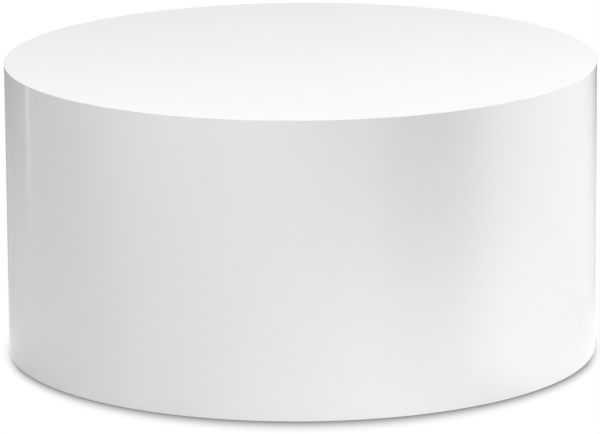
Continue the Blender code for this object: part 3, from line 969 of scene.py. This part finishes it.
def moulded_nylon(name, look):
    """Black nylon with a fine spark finish and paler rubbed spots."""
    material, tree = new_material(name)
    place = add_place(tree)
    shown = add_mix(tree, add_noise(tree, place, NYLON_RUBS), look.nylon, look.nylon_scuff)
    spark = add_noise(tree, place, NYLON_SPARK)
    end_worn(tree, spark, NYLON_SPARK.depth, NYLON_ROUGHNESS, {"Base Color": shown, "IOR": NYLON_IOR})
    return material


def shared_lacquer(table):
    """The lacquer of the top and the wall."""
    return finish("sprayed_lacquer", sprayed_lacquer, table.lacquer)


def shared_board(table):
    """The bare board behind the lacquer."""
    return finish("bare_fibreboard", fibreboard, table.timber)


def shared_steel(table):
    """The zinc of the nuts and the stems."""
    return finish("steel_zinc", plated_metal, table.fittings.steel_zinc, table.fittings.steel_bloom)


class TABLE_OT_top_panel(bpy.types.Operator):
    """Builds the lacquered top panel"""

    bl_idname = "round_table.top_panel"
    bl_label = "Top Panel"

    def execute(self, context):
        table = context.scene.round_table
        sizes = table.shell
        corners = [
            (0.0, PANEL_HIGH.z, 0.0),
            (DRUM_RADIUS, PANEL_HIGH.z, sizes.top_arris),
            (DRUM_RADIUS, PANEL_LOW.z, 0.0),
            (0.0, PANEL_LOW.z, 0.0),
        ]
        values = sweep_inputs(DRUM_RADIUS, sizes.segments, sizes.arris_steps, shared_lacquer(table))
        piece = turned_piece("lacquered_top", "turned_top", corners, values)
        true_normals(piece.data)
        leave_bare(piece, shared_board(table), faces_down)
        dress(piece, "drum", "white_lacquer", "top_panel")
        return {"FINISHED"}


def bend_boards(names, nodes, seam_angle, slot, corners, values):
    """Two like boards that meet at two seams, each bent half a turn. Returns the boards."""
    boards = []
    for index, (name, node) in enumerate(zip(names, nodes)):
        half = {**values, "Start Angle": seam_angle + math.pi * index, "Sweep Angle": math.pi}
        tree = bpy.data.node_groups.get("bent_board") or bending_tree("bent_board", half)
        board = run_tree(outline_object(name, corners, closed=True), tree, half)
        true_normals(board.data)
        dress(board, "drum", slot, node)
        boards.append(board)
    return boards


class TABLE_OT_wall(bpy.types.Operator):
    """Builds the two lacquered half wraps of the wall"""

    bl_idname = "round_table.wall"
    bl_label = "Wall"

    def execute(self, context):
        table = context.scene.round_table
        sizes = table.shell
        inside = DRUM_RADIUS - sizes.wall_thickness
        corners = board_section(inside, DRUM_RADIUS, WALL_FOOT, PANEL_LOW.z, 0.0, sizes.wall_arris)
        values = sweep_inputs(DRUM_RADIUS, sizes.segments // 2, sizes.arris_steps, shared_lacquer(table))
        names = ("lacquered_wall_back", "lacquered_wall_front")
        nodes = ("wall_panel_back", "wall_panel_front")
        for board in bend_boards(names, nodes, WALL_SEAM_ANGLE, "white_lacquer", corners, values):
            leave_bare(board, shared_board(table), faces_inwards)
        return {"FINISHED"}


class TABLE_OT_liner(bpy.types.Operator):
    """Builds the two half wraps of bending plywood inside the wall"""

    bl_idname = "round_table.liner"
    bl_label = "Liner"

    def execute(self, context):
        table = context.scene.round_table
        sizes = table.carcass
        inside = LINER_RADIUS - sizes.liner_thickness
        arrises = (sizes.liner_arris, sizes.liner_arris)
        corners = board_section(inside, LINER_RADIUS, LINER_LOW.z, LINER_HIGH.z, *arrises)
        material = finish("bending_ply", bending_plywood, table.timber, sizes.liner_thickness)
        values = sweep_inputs(LINER_RADIUS, sizes.segments // 2, sizes.arris_steps, material)
        names = ("bent_liner_left", "bent_liner_right")
        nodes = ("wall_liner_left", "wall_liner_right")
        bend_boards(names, nodes, LINER_SEAM_ANGLE, "bending_plywood", corners, values)
        return {"FINISHED"}


def middle_spot(node):
    """Where a node's middle is: its angle and its distance from the drum's axis."""
    low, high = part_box(node)
    middle = (low + high) / 2
    return math.atan2(middle.y, middle.x), math.hypot(middle.x, middle.y)


def screw_spot(group):
    """Where a group of screws stands and which way it points, and how long its screws are."""
    first = f"{group}_1"
    low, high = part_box(first)
    angle, radius = middle_spot(first)
    if SCREW_GROUPS[group] == "out":
        return ring_inputs(COPIES, angle, low.x, (low.z + high.z) / 2, math.pi / 2), high.x - low.x
    if SCREW_GROUPS[group] == "down":
        return ring_inputs(COPIES, angle, radius, high.z, math.pi), high.z - low.z
    return ring_inputs(COPIES, angle, radius, low.z), high.z - low.z


def screw_holes(table, group):
    """Countersunk holes for a group of screws: their prefix, their cutters' steps and their inputs."""
    sizes = table.screws
    spot, reach = screw_spot(group)
    hole = {
        "Radius": sizes.thread_radius + sizes.hole_play,
        "Depth": 2 * reach,
        "Head Radius": sizes.head_radius + sizes.hole_play,
    }
    return group, (add_drill, add_countersink), {**spot, **hole}


def nut_bores(table):
    """Bores right through the base ring for the insert nuts, given as screw holes are."""
    low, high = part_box("base_ring")
    spot = ring_inputs(COPIES, *middle_spot("insert_nut_1"), (low.z + high.z) / 2)
    bore = {
        "Radius": table.glides.barrel_radius + table.carcass.joint_gap,
        "Depth": 2 * (high.z - low.z),
    }
    return "nut_bore", (add_drill,), {**spot, **bore}


def post_notches(table):
    """Notches in the middle ring's outer edge for the uprights, given as screw holes are."""
    low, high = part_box("middle_ring")
    gap = table.carcass.joint_gap
    reach = high.y - POST_LOW.x
    spot = ring_inputs(COPIES, 0.0, high.y, (low.z + high.z) / 2)
    notch = {
        "Depth": 2 * (reach + gap),
        "Width": POST_HIGH.y - POST_LOW.y + 2 * gap,
        "Thickness": 2 * (high.z - low.z),
    }
    return "post_notch", (add_notch,), {**spot, **notch}


def build_ring(table, name, cuts):
    """One former ring with its sets of cuts. Its reach is read along Y, where no notch shortens it."""
    sizes = table.carcass
    low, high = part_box(name)
    outside = high.y
    arrises = (sizes.ring_arris, sizes.ring_arris)
    corners = board_section(outside - sizes.ring_width, outside, low.z, high.z, *arrises)
    material = finish(f"birch_{name}", birch_plywood, table.timber, low.z)
    values = sweep_inputs(outside, sizes.segments, sizes.arris_steps, material)
    details = []
    for prefix, add_cutters, places in cuts:
        details.append(cut_set(prefix, add_cutters))
        values.update({f"{prefix} {label}": value for label, value in places.items()})
    piece = turned_piece(f"sawn_{name}", f"cut_{name}", corners, values, *details, closed=True)
    dress(piece, "drum", "birch_plywood", name)


class TABLE_OT_rings(bpy.types.Operator):
    """Builds the three former rings with their screw holes, bores and notches"""

    bl_idname = "round_table.rings"
    bl_label = "Rings"

    def execute(self, context):
        table = context.scene.round_table
        holes = {group: screw_holes(table, group) for group in SCREW_GROUPS}
        build_ring(table, "base_ring", (holes["base_screw"], nut_bores(table)))
        build_ring(table, "middle_ring", (holes["middle_screw"], post_notches(table)))
        build_ring(table, "top_ring", (holes["top_screw"], holes["panel_screw"]))
        return {"FINISHED"}


class TABLE_OT_posts(bpy.types.Operator):
    """Builds the six softwood uprights"""

    bl_idname = "round_table.posts"
    bl_label = "Uprights"

    def execute(self, context):
        table = context.scene.round_table
        size = POST_HIGH - POST_LOW
        values = {
            "Depth": size.x,
            "Width": size.y,
            "Length": size.z,
            "Arris": table.carcass.post_arris,
            "Arris Steps": table.carcass.arris_steps,
            "Finish": finish("planed_softwood", softwood, table.timber),
            **ring_inputs(COPIES, 0.0, (POST_LOW.x + POST_HIGH.x) / 2, POST_LOW.z),
        }
        piece = run_tree(outline_object("planed_uprights"), post_tree("upright_posts", values), values)
        dress(piece, "drum", "softwood", *numbered("upright"))
        return {"FINISHED"}


class TABLE_OT_screws(bpy.types.Operator):
    """Builds the wood screws in their four groups of six"""

    bl_idname = "round_table.screws"
    bl_label = "Screws"

    def execute(self, context):
        table = context.scene.round_table
        sizes = table.screws
        look = table.fittings
        material = finish("screw_zinc", plated_metal, look.screw_zinc, look.screw_bloom)
        shared = {
            **sweep_inputs(sizes.head_radius, sizes.segments, SHARP_STEPS, material),
            **named_inputs(sizes, "recess_radius", "recess_tip", "recess_depth", "recess_slimness"),
        }
        for name in SCREW_GROUPS:
            spot, reach = screw_spot(name)
            corners = [
                (0.0, reach, 0.0),
                (sizes.core_radius, reach - sizes.point, 0.0),
                (sizes.core_radius, sizes.head_lip + sizes.head_radius - sizes.core_radius, 0.0),
                (sizes.head_radius, sizes.head_lip, 0.0),
                (sizes.head_radius, 0.0, 0.0),
                (0.0, 0.0, 0.0),
            ]
            bite = reach - sizes.point - sizes.plain_length
            values = {**shared, **spot, **thread_inputs(sizes, "thread", sizes.plain_length, bite)}
            details = (add_recess, add_thread, add_copies)
            piece = turned_piece(f"{name}s", "wood_screws", corners, values, *details)
            dress(piece, "drum", "zinc_screw", *numbered(name))
        return {"FINISHED"}


class TABLE_OT_insert_nuts(bpy.types.Operator):
    """Builds the six insert nuts under the base ring"""

    bl_idname = "round_table.insert_nuts"
    bl_label = "Insert Nuts"

    def execute(self, context):
        table = context.scene.round_table
        sizes = table.glides
        flange_top = NUT_LOW.z + sizes.flange_thickness
        corners = [
            (sizes.bore_radius, NUT_LOW.z, 0.0),
            (sizes.bore_radius, NUT_HIGH.z, 0.0),
            (sizes.barrel_core, NUT_HIGH.z, 0.0),
            (sizes.barrel_core, flange_top, 0.0),
            (sizes.flange_radius, flange_top, sizes.flange_arris),
            (sizes.flange_radius, NUT_LOW.z, sizes.flange_arris),
        ]
        bite = NUT_HIGH.z - flange_top - 2 * sizes.barrel_crest
        values = {
            **sweep_inputs(sizes.flange_radius, sizes.segments, sizes.arris_steps, shared_steel(table)),
            **thread_inputs(sizes, "barrel", flange_top + sizes.barrel_crest, bite),
            **ring_inputs(COPIES, *middle_spot("insert_nut_1")),
        }
        details = (add_thread, add_copies)
        piece = turned_piece("flanged_nuts", "insert_nuts", corners, values, *details, closed=True)
        dress(piece, "drum", "zinc_steel", *numbered("insert_nut"))
        return {"FINISHED"}


def stem_outline(sizes, ball_centre, collar_top):
    """Corners of a stem, from its chamfered top end down to its ball."""
    neck_angle = math.acos(sizes.neck_radius / sizes.ball_radius)
    ball = arc_corners(ball_centre, sizes.ball_radius, neck_angle, -math.pi / 2, sizes.ball_steps)
    return [
        (0.0, STEM_HIGH.z, 0.0),
        (sizes.stem_core - sizes.stem_chamfer, STEM_HIGH.z, 0.0),
        (sizes.stem_core, STEM_HIGH.z - sizes.stem_chamfer, 0.0),
        (sizes.stem_core, collar_top, 0.0),
        (sizes.neck_radius, collar_top, 0.0),
        *ball[:-1],
        (0.0, STEM_LOW.z, 0.0),
    ]


def pad_outline(sizes, ball_centre, pad_radius):
    """Corners of a pad, from the bottom of its socket up to its top and down to the floor."""
    socket_radius = sizes.ball_radius + sizes.socket_play
    mouth_angle = math.acos(sizes.mouth_radius / socket_radius)
    socket = arc_corners(ball_centre, socket_radius, -math.pi / 2, mouth_angle, sizes.ball_steps)
    return [
        (0.0, sizes.pad_floor, 0.0),
        *socket[1:-1],
        (sizes.mouth_radius, PAD_HIGH.z, 0.0),
        (sizes.boss_radius, PAD_HIGH.z, sizes.pad_arris),
        (pad_radius, sizes.pad_rim, sizes.pad_arris),
        (pad_radius, PAD_LOW.z, sizes.pad_arris),
        (0.0, PAD_LOW.z, 0.0),
    ]


class TABLE_OT_glides(bpy.types.Operator):
    """Builds the threaded stem and the ball-jointed pad of each foot"""

    bl_idname = "round_table.glides"
    bl_label = "Glides"

    def execute(self, context):
        table = context.scene.round_table
        sizes = table.glides
        ball_centre = STEM_LOW.z + sizes.ball_radius
        collar_top = sizes.collar_underside + sizes.collar_thickness
        pad_radius = (PAD_HIGH.x - PAD_LOW.x) / 2
        bite = STEM_HIGH.z - sizes.stem_chamfer - collar_top - 2 * sizes.stem_crest
        stem_corners = stem_outline(sizes, ball_centre, collar_top)
        stem_values = {
            **sweep_inputs(sizes.ball_radius, sizes.segments, sizes.arris_steps, shared_steel(table)),
            **thread_inputs(sizes, "stem", collar_top + sizes.stem_crest, bite),
            **named_inputs(sizes, "collar_flats", "collar_underside", "collar_thickness"),
        }
        stem_details = (add_thread, add_collar, add_copies)
        pad_corners = pad_outline(sizes, ball_centre, pad_radius)
        nylon = finish("moulded_nylon", moulded_nylon, table.fittings)
        pad_values = sweep_inputs(pad_radius, sizes.segments, sizes.arris_steps, nylon)
        for foot in range(1, COPIES + 1):
            spot = ring_inputs(1, *middle_spot(f"glide_pad_{foot}"))
            values = {**stem_values, **spot}
            stem = turned_piece(f"threaded_stem_{foot}", "glide_stem", stem_corners, values, *stem_details)
            dress(stem, f"stem_{foot}", "zinc_steel", f"glide_stem_{foot}")
            values = {**pad_values, **spot}
            pad = turned_piece(f"nylon_pad_{foot}", "glide_pad", pad_corners, values, add_copies)
            dress(pad, f"foot_{foot}", "nylon", f"glide_pad_{foot}")
        return {"FINISHED"}


class LampRow(NamedTuple):
    """Like lamps near the wall, each given as degrees from the front towards the right, and watts."""

    distance: float  # from the drum's axis
    height: float
    aim_height: float  # of what the lamps point at, on the wall
    width: float
    depth: float
    lamps: tuple


HIGH_LAMPS = LampRow(
    distance=1.25,
    height=0.75,
    aim_height=0.25,
    width=0.5,
    depth=0.5,
    lamps=((-30.0, 2.4), (70.0, 2.65), (90.0, 2.9)),
)
LOW_LAMPS = LampRow(
    distance=0.85,
    height=0.05,
    aim_height=0.05,
    width=0.35,
    depth=0.08,
    lamps=((-70.0, 0.16), (10.0, 0.13), (35.0, 0.28)),
)
BACK_LAMPS = LampRow(
    distance=1.25,
    height=0.22,
    aim_height=0.22,
    width=0.5,
    depth=0.4,
    lamps=((-150.0, 1.6), (150.0, 1.6), (180.0, 1.6)),
)
OVERHEAD_PLACE = (0.0, -1.2, 3.0)
OVERHEAD_AIM = (0.0, 0.0, 0.3)
OVERHEAD_SIDE = 2.0
BACK_LEFT_PLACE = (-2.6, 2.4, 1.2)
BACK_RIGHT_PLACE = (2.6, 2.4, 1.2)
BACK_SIDE = 1.6

# Degrees round from the front towards the right, and how bright the card that the wall mirrors is there,
# at its foot and up its height. It eases from each stop to the next.
CARD_STOPS = (
    (-180.0, 0.9, 0.9),  # the white room behind the table
    (-140.0, 0.4, 0.35),  # a dark gap behind the left side
    (-118.0, 0.7, 0.5),
    (-97.0, 0.8, 0.65),
    (-95.0, 0.9, 1.6),  # a narrow strip of window light on the left
    (-93.0, 0.85, 0.9),
    (-60.0, 0.65, 0.7),  # the shaded left of the room
    (-30.0, 0.85, 0.8),
    (-5.0, 1.2, 1.35),  # the broad front panel
    (15.0, 1.1, 1.0),
    (28.0, 0.4, 0.1),  # a dark gap between the front panel and the right one
    (37.0, 0.1, 0.0),
    (60.0, 1.4, 1.5),  # the bright right panel
    (100.0, 1.05, 0.9),
    (130.0, 0.8, 0.3),  # a dark gap behind the right panel
    (180.0, 0.9, 0.9),
)
CARD_PEAK = 1.6
# How late up the card its upper brightness takes over, 1 for evenly.
CARD_LATENESS = 2.0
CARD_SEGMENTS = 96
NEUTRAL = (1.0, 1.0, 1.0)
WARM = (1.0, 0.985, 0.955)
BLACK = (0.0, 0.0, 0.0)


def round_from_front(degrees, radius, height):
    """A place at a distance from the drum's axis, so many degrees from the front towards the right."""
    angle = math.radians(degrees)
    return Vector((radius * math.sin(angle), -radius * math.cos(angle), height))


def add_softbox(name, place, aim, size, watts, tint=NEUTRAL):
    """A rectangular soft light that isn't seen or mirrored, because the card stands for it there."""
    light = bpy.data.lights.new(name, "AREA")
    light.shape = "RECTANGLE"
    light.size, light.size_y = size
    light.energy = watts
    light.color = tint
    lamp = bpy.data.objects.new(name, light)
    lamp.location = place
    lamp.rotation_mode = "QUATERNION"
    lamp.rotation_quaternion = (Vector(aim) - Vector(place)).to_track_quat("-Z", "Y")
    lamp.visible_camera = False
    lamp.visible_glossy = False
    bpy.context.scene.collection.objects.link(lamp)


def add_lamp_row(name, row):
    """Lamps near the wall. Those on the left are warmer."""
    for degrees, watts in row.lamps:
        place = round_from_front(degrees, row.distance, row.height)
        aim = round_from_front(degrees, DRUM_RADIUS, row.aim_height)
        tint = WARM if degrees < 0.0 else NEUTRAL
        add_softbox(f"{name}_{degrees:.0f}", place, aim, (row.width, row.depth), watts, tint)


def add_seen(tree, lit, seen):
    """One shader that is seen, straight on, mirrored or through glass, and one that lights the rest."""
    path = add_node(tree, "ShaderNodeLightPath").outputs
    mirrored = add_math(tree, "MAXIMUM", path["Is Glossy Ray"], path["Is Transmission Ray"])
    share_seen = add_math(tree, "MAXIMUM", path["Is Camera Ray"], mirrored)
    return add_step(tree, "ShaderNodeMixShader", {0: share_seen, 1: lit, 2: seen})


def add_oval(tree, half_width, half_depth):
    """How far out a place on the floor is: 0 in the middle and 1 on an oval's edge."""
    scaled = add_vector_math(tree, "DIVIDE", add_place(tree), (half_width, half_depth, 1.0))
    return add_vector_math(tree, "LENGTH", scaled)


def add_oval_shade(tree, studio):
    """Where the floor's painted shade lies: 1 under the drum, fading to 0 at an oval that reaches out less
    at the sides than elsewhere.
    """
    outer = add_oval(tree, DRUM_RADIUS + studio.shade_side, DRUM_RADIUS + studio.shade_reach)
    side_under = studio.shade_under * studio.shade_side / studio.shade_reach
    inner = add_oval(tree, DRUM_RADIUS - side_under, DRUM_RADIUS - studio.shade_under)
    to_edge = add_math(tree, "SUBTRACT", 1.0, outer)
    whole_fade = add_math(tree, "SUBTRACT", 1.0, add_math(tree, "DIVIDE", outer, inner))
    near = add_range(tree, add_math(tree, "DIVIDE", to_edge, whole_fade), 0.0, 1.0)
    across = add_math(tree, "ABSOLUTE", add_parts(tree, add_place(tree))["X"])
    full_shade = DRUM_RADIUS - studio.shade_ends
    ends = add_range(tree, across, 0.0, 1.0, start=DRUM_RADIUS + studio.shade_side, end=full_shade)
    return add_math(tree, "MULTIPLY", add_math(tree, "POWER", near, studio.shade_falloff), ends)


def white_floor(studio):
    """A pale floor that is plain white to the eye, but for a painted soft shade round the drum's foot."""
    material, tree = new_material("white_floor")
    lit = add_step(tree, "ShaderNodeBsdfDiffuse", {"Color": (*studio.floor_colour, 1.0)})
    # Painted shade: the floor's seen brightness is dimmed near the drum, whatever the lamps do.
    brightness = add_range(tree, add_oval_shade(tree, studio), 1.0, studio.shade_depth)
    white = add_step(tree, "ShaderNodeEmission", {"Color": (*NEUTRAL, 1.0), "Strength": brightness})
    end_material(tree, add_seen(tree, lit, white))
    material.cycles.emission_sampling = "NONE"
    return material


def add_floor(studio):
    """A square floor round the drum's axis."""
    half = studio.floor_side / 2
    corners = [(-half, -half, 0.0), (half, -half, 0.0), (half, half, 0.0), (-half, half, 0.0)]
    mesh = bpy.data.meshes.new("floor")
    mesh.from_pydata(corners, [], [(0, 1, 2, 3)])
    mesh.materials.append(white_floor(studio))
    floor = bpy.data.objects.new("floor", mesh)
    bpy.context.scene.collection.objects.link(floor)


def add_card_ramp(tree, way_round, brightnesses):
    """The card's brightness at one height, by the way round it from 0 to 1."""
    ramp = add_node(tree, "ShaderNodeValToRGB", {"Fac": way_round})
    ramp.color_ramp.interpolation = "EASE"
    stops = ramp.color_ramp.elements
    ways = [(math.radians(degrees) + math.pi) / FULL_TURN for degrees, foot, upper in CARD_STOPS]
    for way in ways[1:-1]:
        stops.new(way)
    for stop, brightness in zip(stops, brightnesses):
        grey = brightness / CARD_PEAK
        stop.color = (grey, grey, grey, 1.0)
    return ramp.outputs["Color"]


def card_glow(studio):
    """The card's brightness round the drum and up its height."""
    material, tree = new_material("card_glow")
    parts = add_parts(tree, add_place(tree))
    angle = add_math(tree, "ARCTAN2", parts["X"], add_math(tree, "MULTIPLY", parts["Y"], -1.0))
    way_round = add_range(tree, angle, 0.0, 1.0, start=-math.pi, end=math.pi)
    foot = add_card_ramp(tree, way_round, [foot for degrees, foot, upper in CARD_STOPS])
    upper = add_card_ramp(tree, way_round, [upper for degrees, foot, upper in CARD_STOPS])
    rise = add_range(tree, parts["Z"], 0.0, 1.0, end=studio.card_rise)
    shown = add_mix(tree, add_math(tree, "POWER", rise, CARD_LATENESS), foot, upper)
    end_material(tree, add_step(tree, "ShaderNodeEmission", {"Color": shown, "Strength": CARD_PEAK}))
    material.cycles.emission_sampling = "NONE"
    return material


def add_card(name, corners, radius, material):
    """A round card of the stage that only reflections see."""
    values = sweep_inputs(radius, CARD_SEGMENTS, SHARP_STEPS, material)
    card = turned_piece(name, f"round_{name}", corners, values)
    card.visible_camera = False
    card.visible_diffuse = False
    card.visible_shadow = False
    card.visible_transmission = False


def add_reflection_card(studio):
    """A round card with a flat foot, which the wall mirrors as it would a studio's panels."""
    corners = [
        (studio.card_radius, PANEL_HIGH.z, 0.0),
        (studio.card_radius, studio.card_lift, 0.0),
        (DRUM_RADIUS + studio.card_gap, studio.card_lift, 0.0),
    ]
    add_card("reflection_card", corners, studio.card_radius, card_glow(studio))


def add_ceiling(studio):
    """A dark round ceiling that the top's rounded edge mirrors as a fine line."""
    material, tree = new_material("dark_ceiling")
    end_material(tree, add_step(tree, "ShaderNodeBsdfDiffuse", {"Color": (*BLACK, 1.0)}))
    corners = [(0.0, studio.ceiling_height, 0.0), (studio.ceiling_radius, studio.ceiling_height, 0.0)]
    add_card("dark_ceiling", corners, studio.ceiling_radius, material)


def add_world():
    """White surroundings that are seen and mirrored, and that shed no light of their own."""
    world = bpy.data.worlds.new("studio")
    world.use_nodes = True
    tree = world.node_tree
    tree.nodes.clear()
    dark = add_step(tree, "ShaderNodeBackground", {"Strength": 0.0})
    white = add_step(tree, "ShaderNodeBackground", {"Color": (*NEUTRAL, 1.0), "Strength": 1.0})
    add_node(tree, "ShaderNodeOutputWorld", {"Surface": add_seen(tree, dark, white)})
    bpy.context.scene.world = world


def add_camera(studio):
    """The camera, tilted down and leaning a little to one side."""
    lens = bpy.data.cameras.new("camera")
    lens.lens = studio.lens
    camera = bpy.data.objects.new("camera", lens)
    camera.location = studio.camera_place
    tilted = Quaternion((1.0, 0.0, 0.0), math.pi / 2 - studio.camera_tilt)
    camera.rotation_mode = "QUATERNION"
    camera.rotation_quaternion = tilted @ Quaternion((0.0, 0.0, 1.0), studio.camera_roll)
    bpy.context.scene.collection.objects.link(camera)
    bpy.context.scene.camera = camera


class TABLE_OT_studio(bpy.types.Operator):
    """Sets up the floor, the light and the camera"""

    bl_idname = "round_table.studio"
    bl_label = "Studio"

    def execute(self, context):
        studio = context.scene.round_table.studio
        middle = (CAD_BOX[0] + CAD_BOX[1]) / 2
        wide = (OVERHEAD_SIDE, OVERHEAD_SIDE)
        square = (BACK_SIDE, BACK_SIDE)
        add_floor(studio)
        add_world()
        add_reflection_card(studio)
        add_ceiling(studio)
        add_softbox("overhead", OVERHEAD_PLACE, OVERHEAD_AIM, wide, studio.overhead_power)
        add_softbox("back_left", BACK_LEFT_PLACE, middle, square, studio.back_left_power, WARM)
        add_softbox("back_right", BACK_RIGHT_PLACE, middle, square, studio.back_right_power)
        add_lamp_row("high_lamp", HIGH_LAMPS)
        add_lamp_row("low_lamp", LOW_LAMPS)
        add_lamp_row("back_lamp", BACK_LAMPS)
        add_camera(studio)
        context.scene.view_settings.view_transform = "Standard"
        return {"FINISHED"}


class TABLE_PT_sidebar(bpy.types.Panel):
    """Lists the table's pieces"""

    bl_label = "Round Coffee Table"
    bl_space_type = "VIEW_3D"
    bl_region_type = "UI"
    bl_category = "Table"

    def draw(self, context):
        for step in STEPS:
            self.layout.operator(step.bl_idname)


SETTINGS = (
    ShellSizes,
    CarcassSizes,
    ScrewSizes,
    GlideSizes,
    LacquerLook,
    TimberLook,
    FittingLook,
    StudioSettings,
    TableSettings,
)
STEPS = (
    TABLE_OT_top_panel,
    TABLE_OT_wall,
    TABLE_OT_liner,
    TABLE_OT_rings,
    TABLE_OT_posts,
    TABLE_OT_screws,
    TABLE_OT_insert_nuts,
    TABLE_OT_glides,
    TABLE_OT_studio,
)
CLASSES = (*SETTINGS, *STEPS, TABLE_PT_sidebar)


def register():
    """Adds the classes and the table's settings."""
    for made in CLASSES:
        bpy.utils.register_class(made)
    bpy.types.Scene.round_table = PointerProperty(type=TableSettings)


def unregister():
    """Takes them away again."""
    del bpy.types.Scene.round_table
    for made in reversed(CLASSES):
        bpy.utils.unregister_class(made)


def main():
    """Builds the table and the studio."""
    register()
    bpy.ops.round_table.top_panel()
    bpy.ops.round_table.wall()
    bpy.ops.round_table.liner()
    bpy.ops.round_table.rings()
    bpy.ops.round_table.posts()
    bpy.ops.round_table.screws()
    bpy.ops.round_table.insert_nuts()
    bpy.ops.round_table.glides()
    bpy.ops.round_table.studio()


if __name__ == "__main__":
    main()
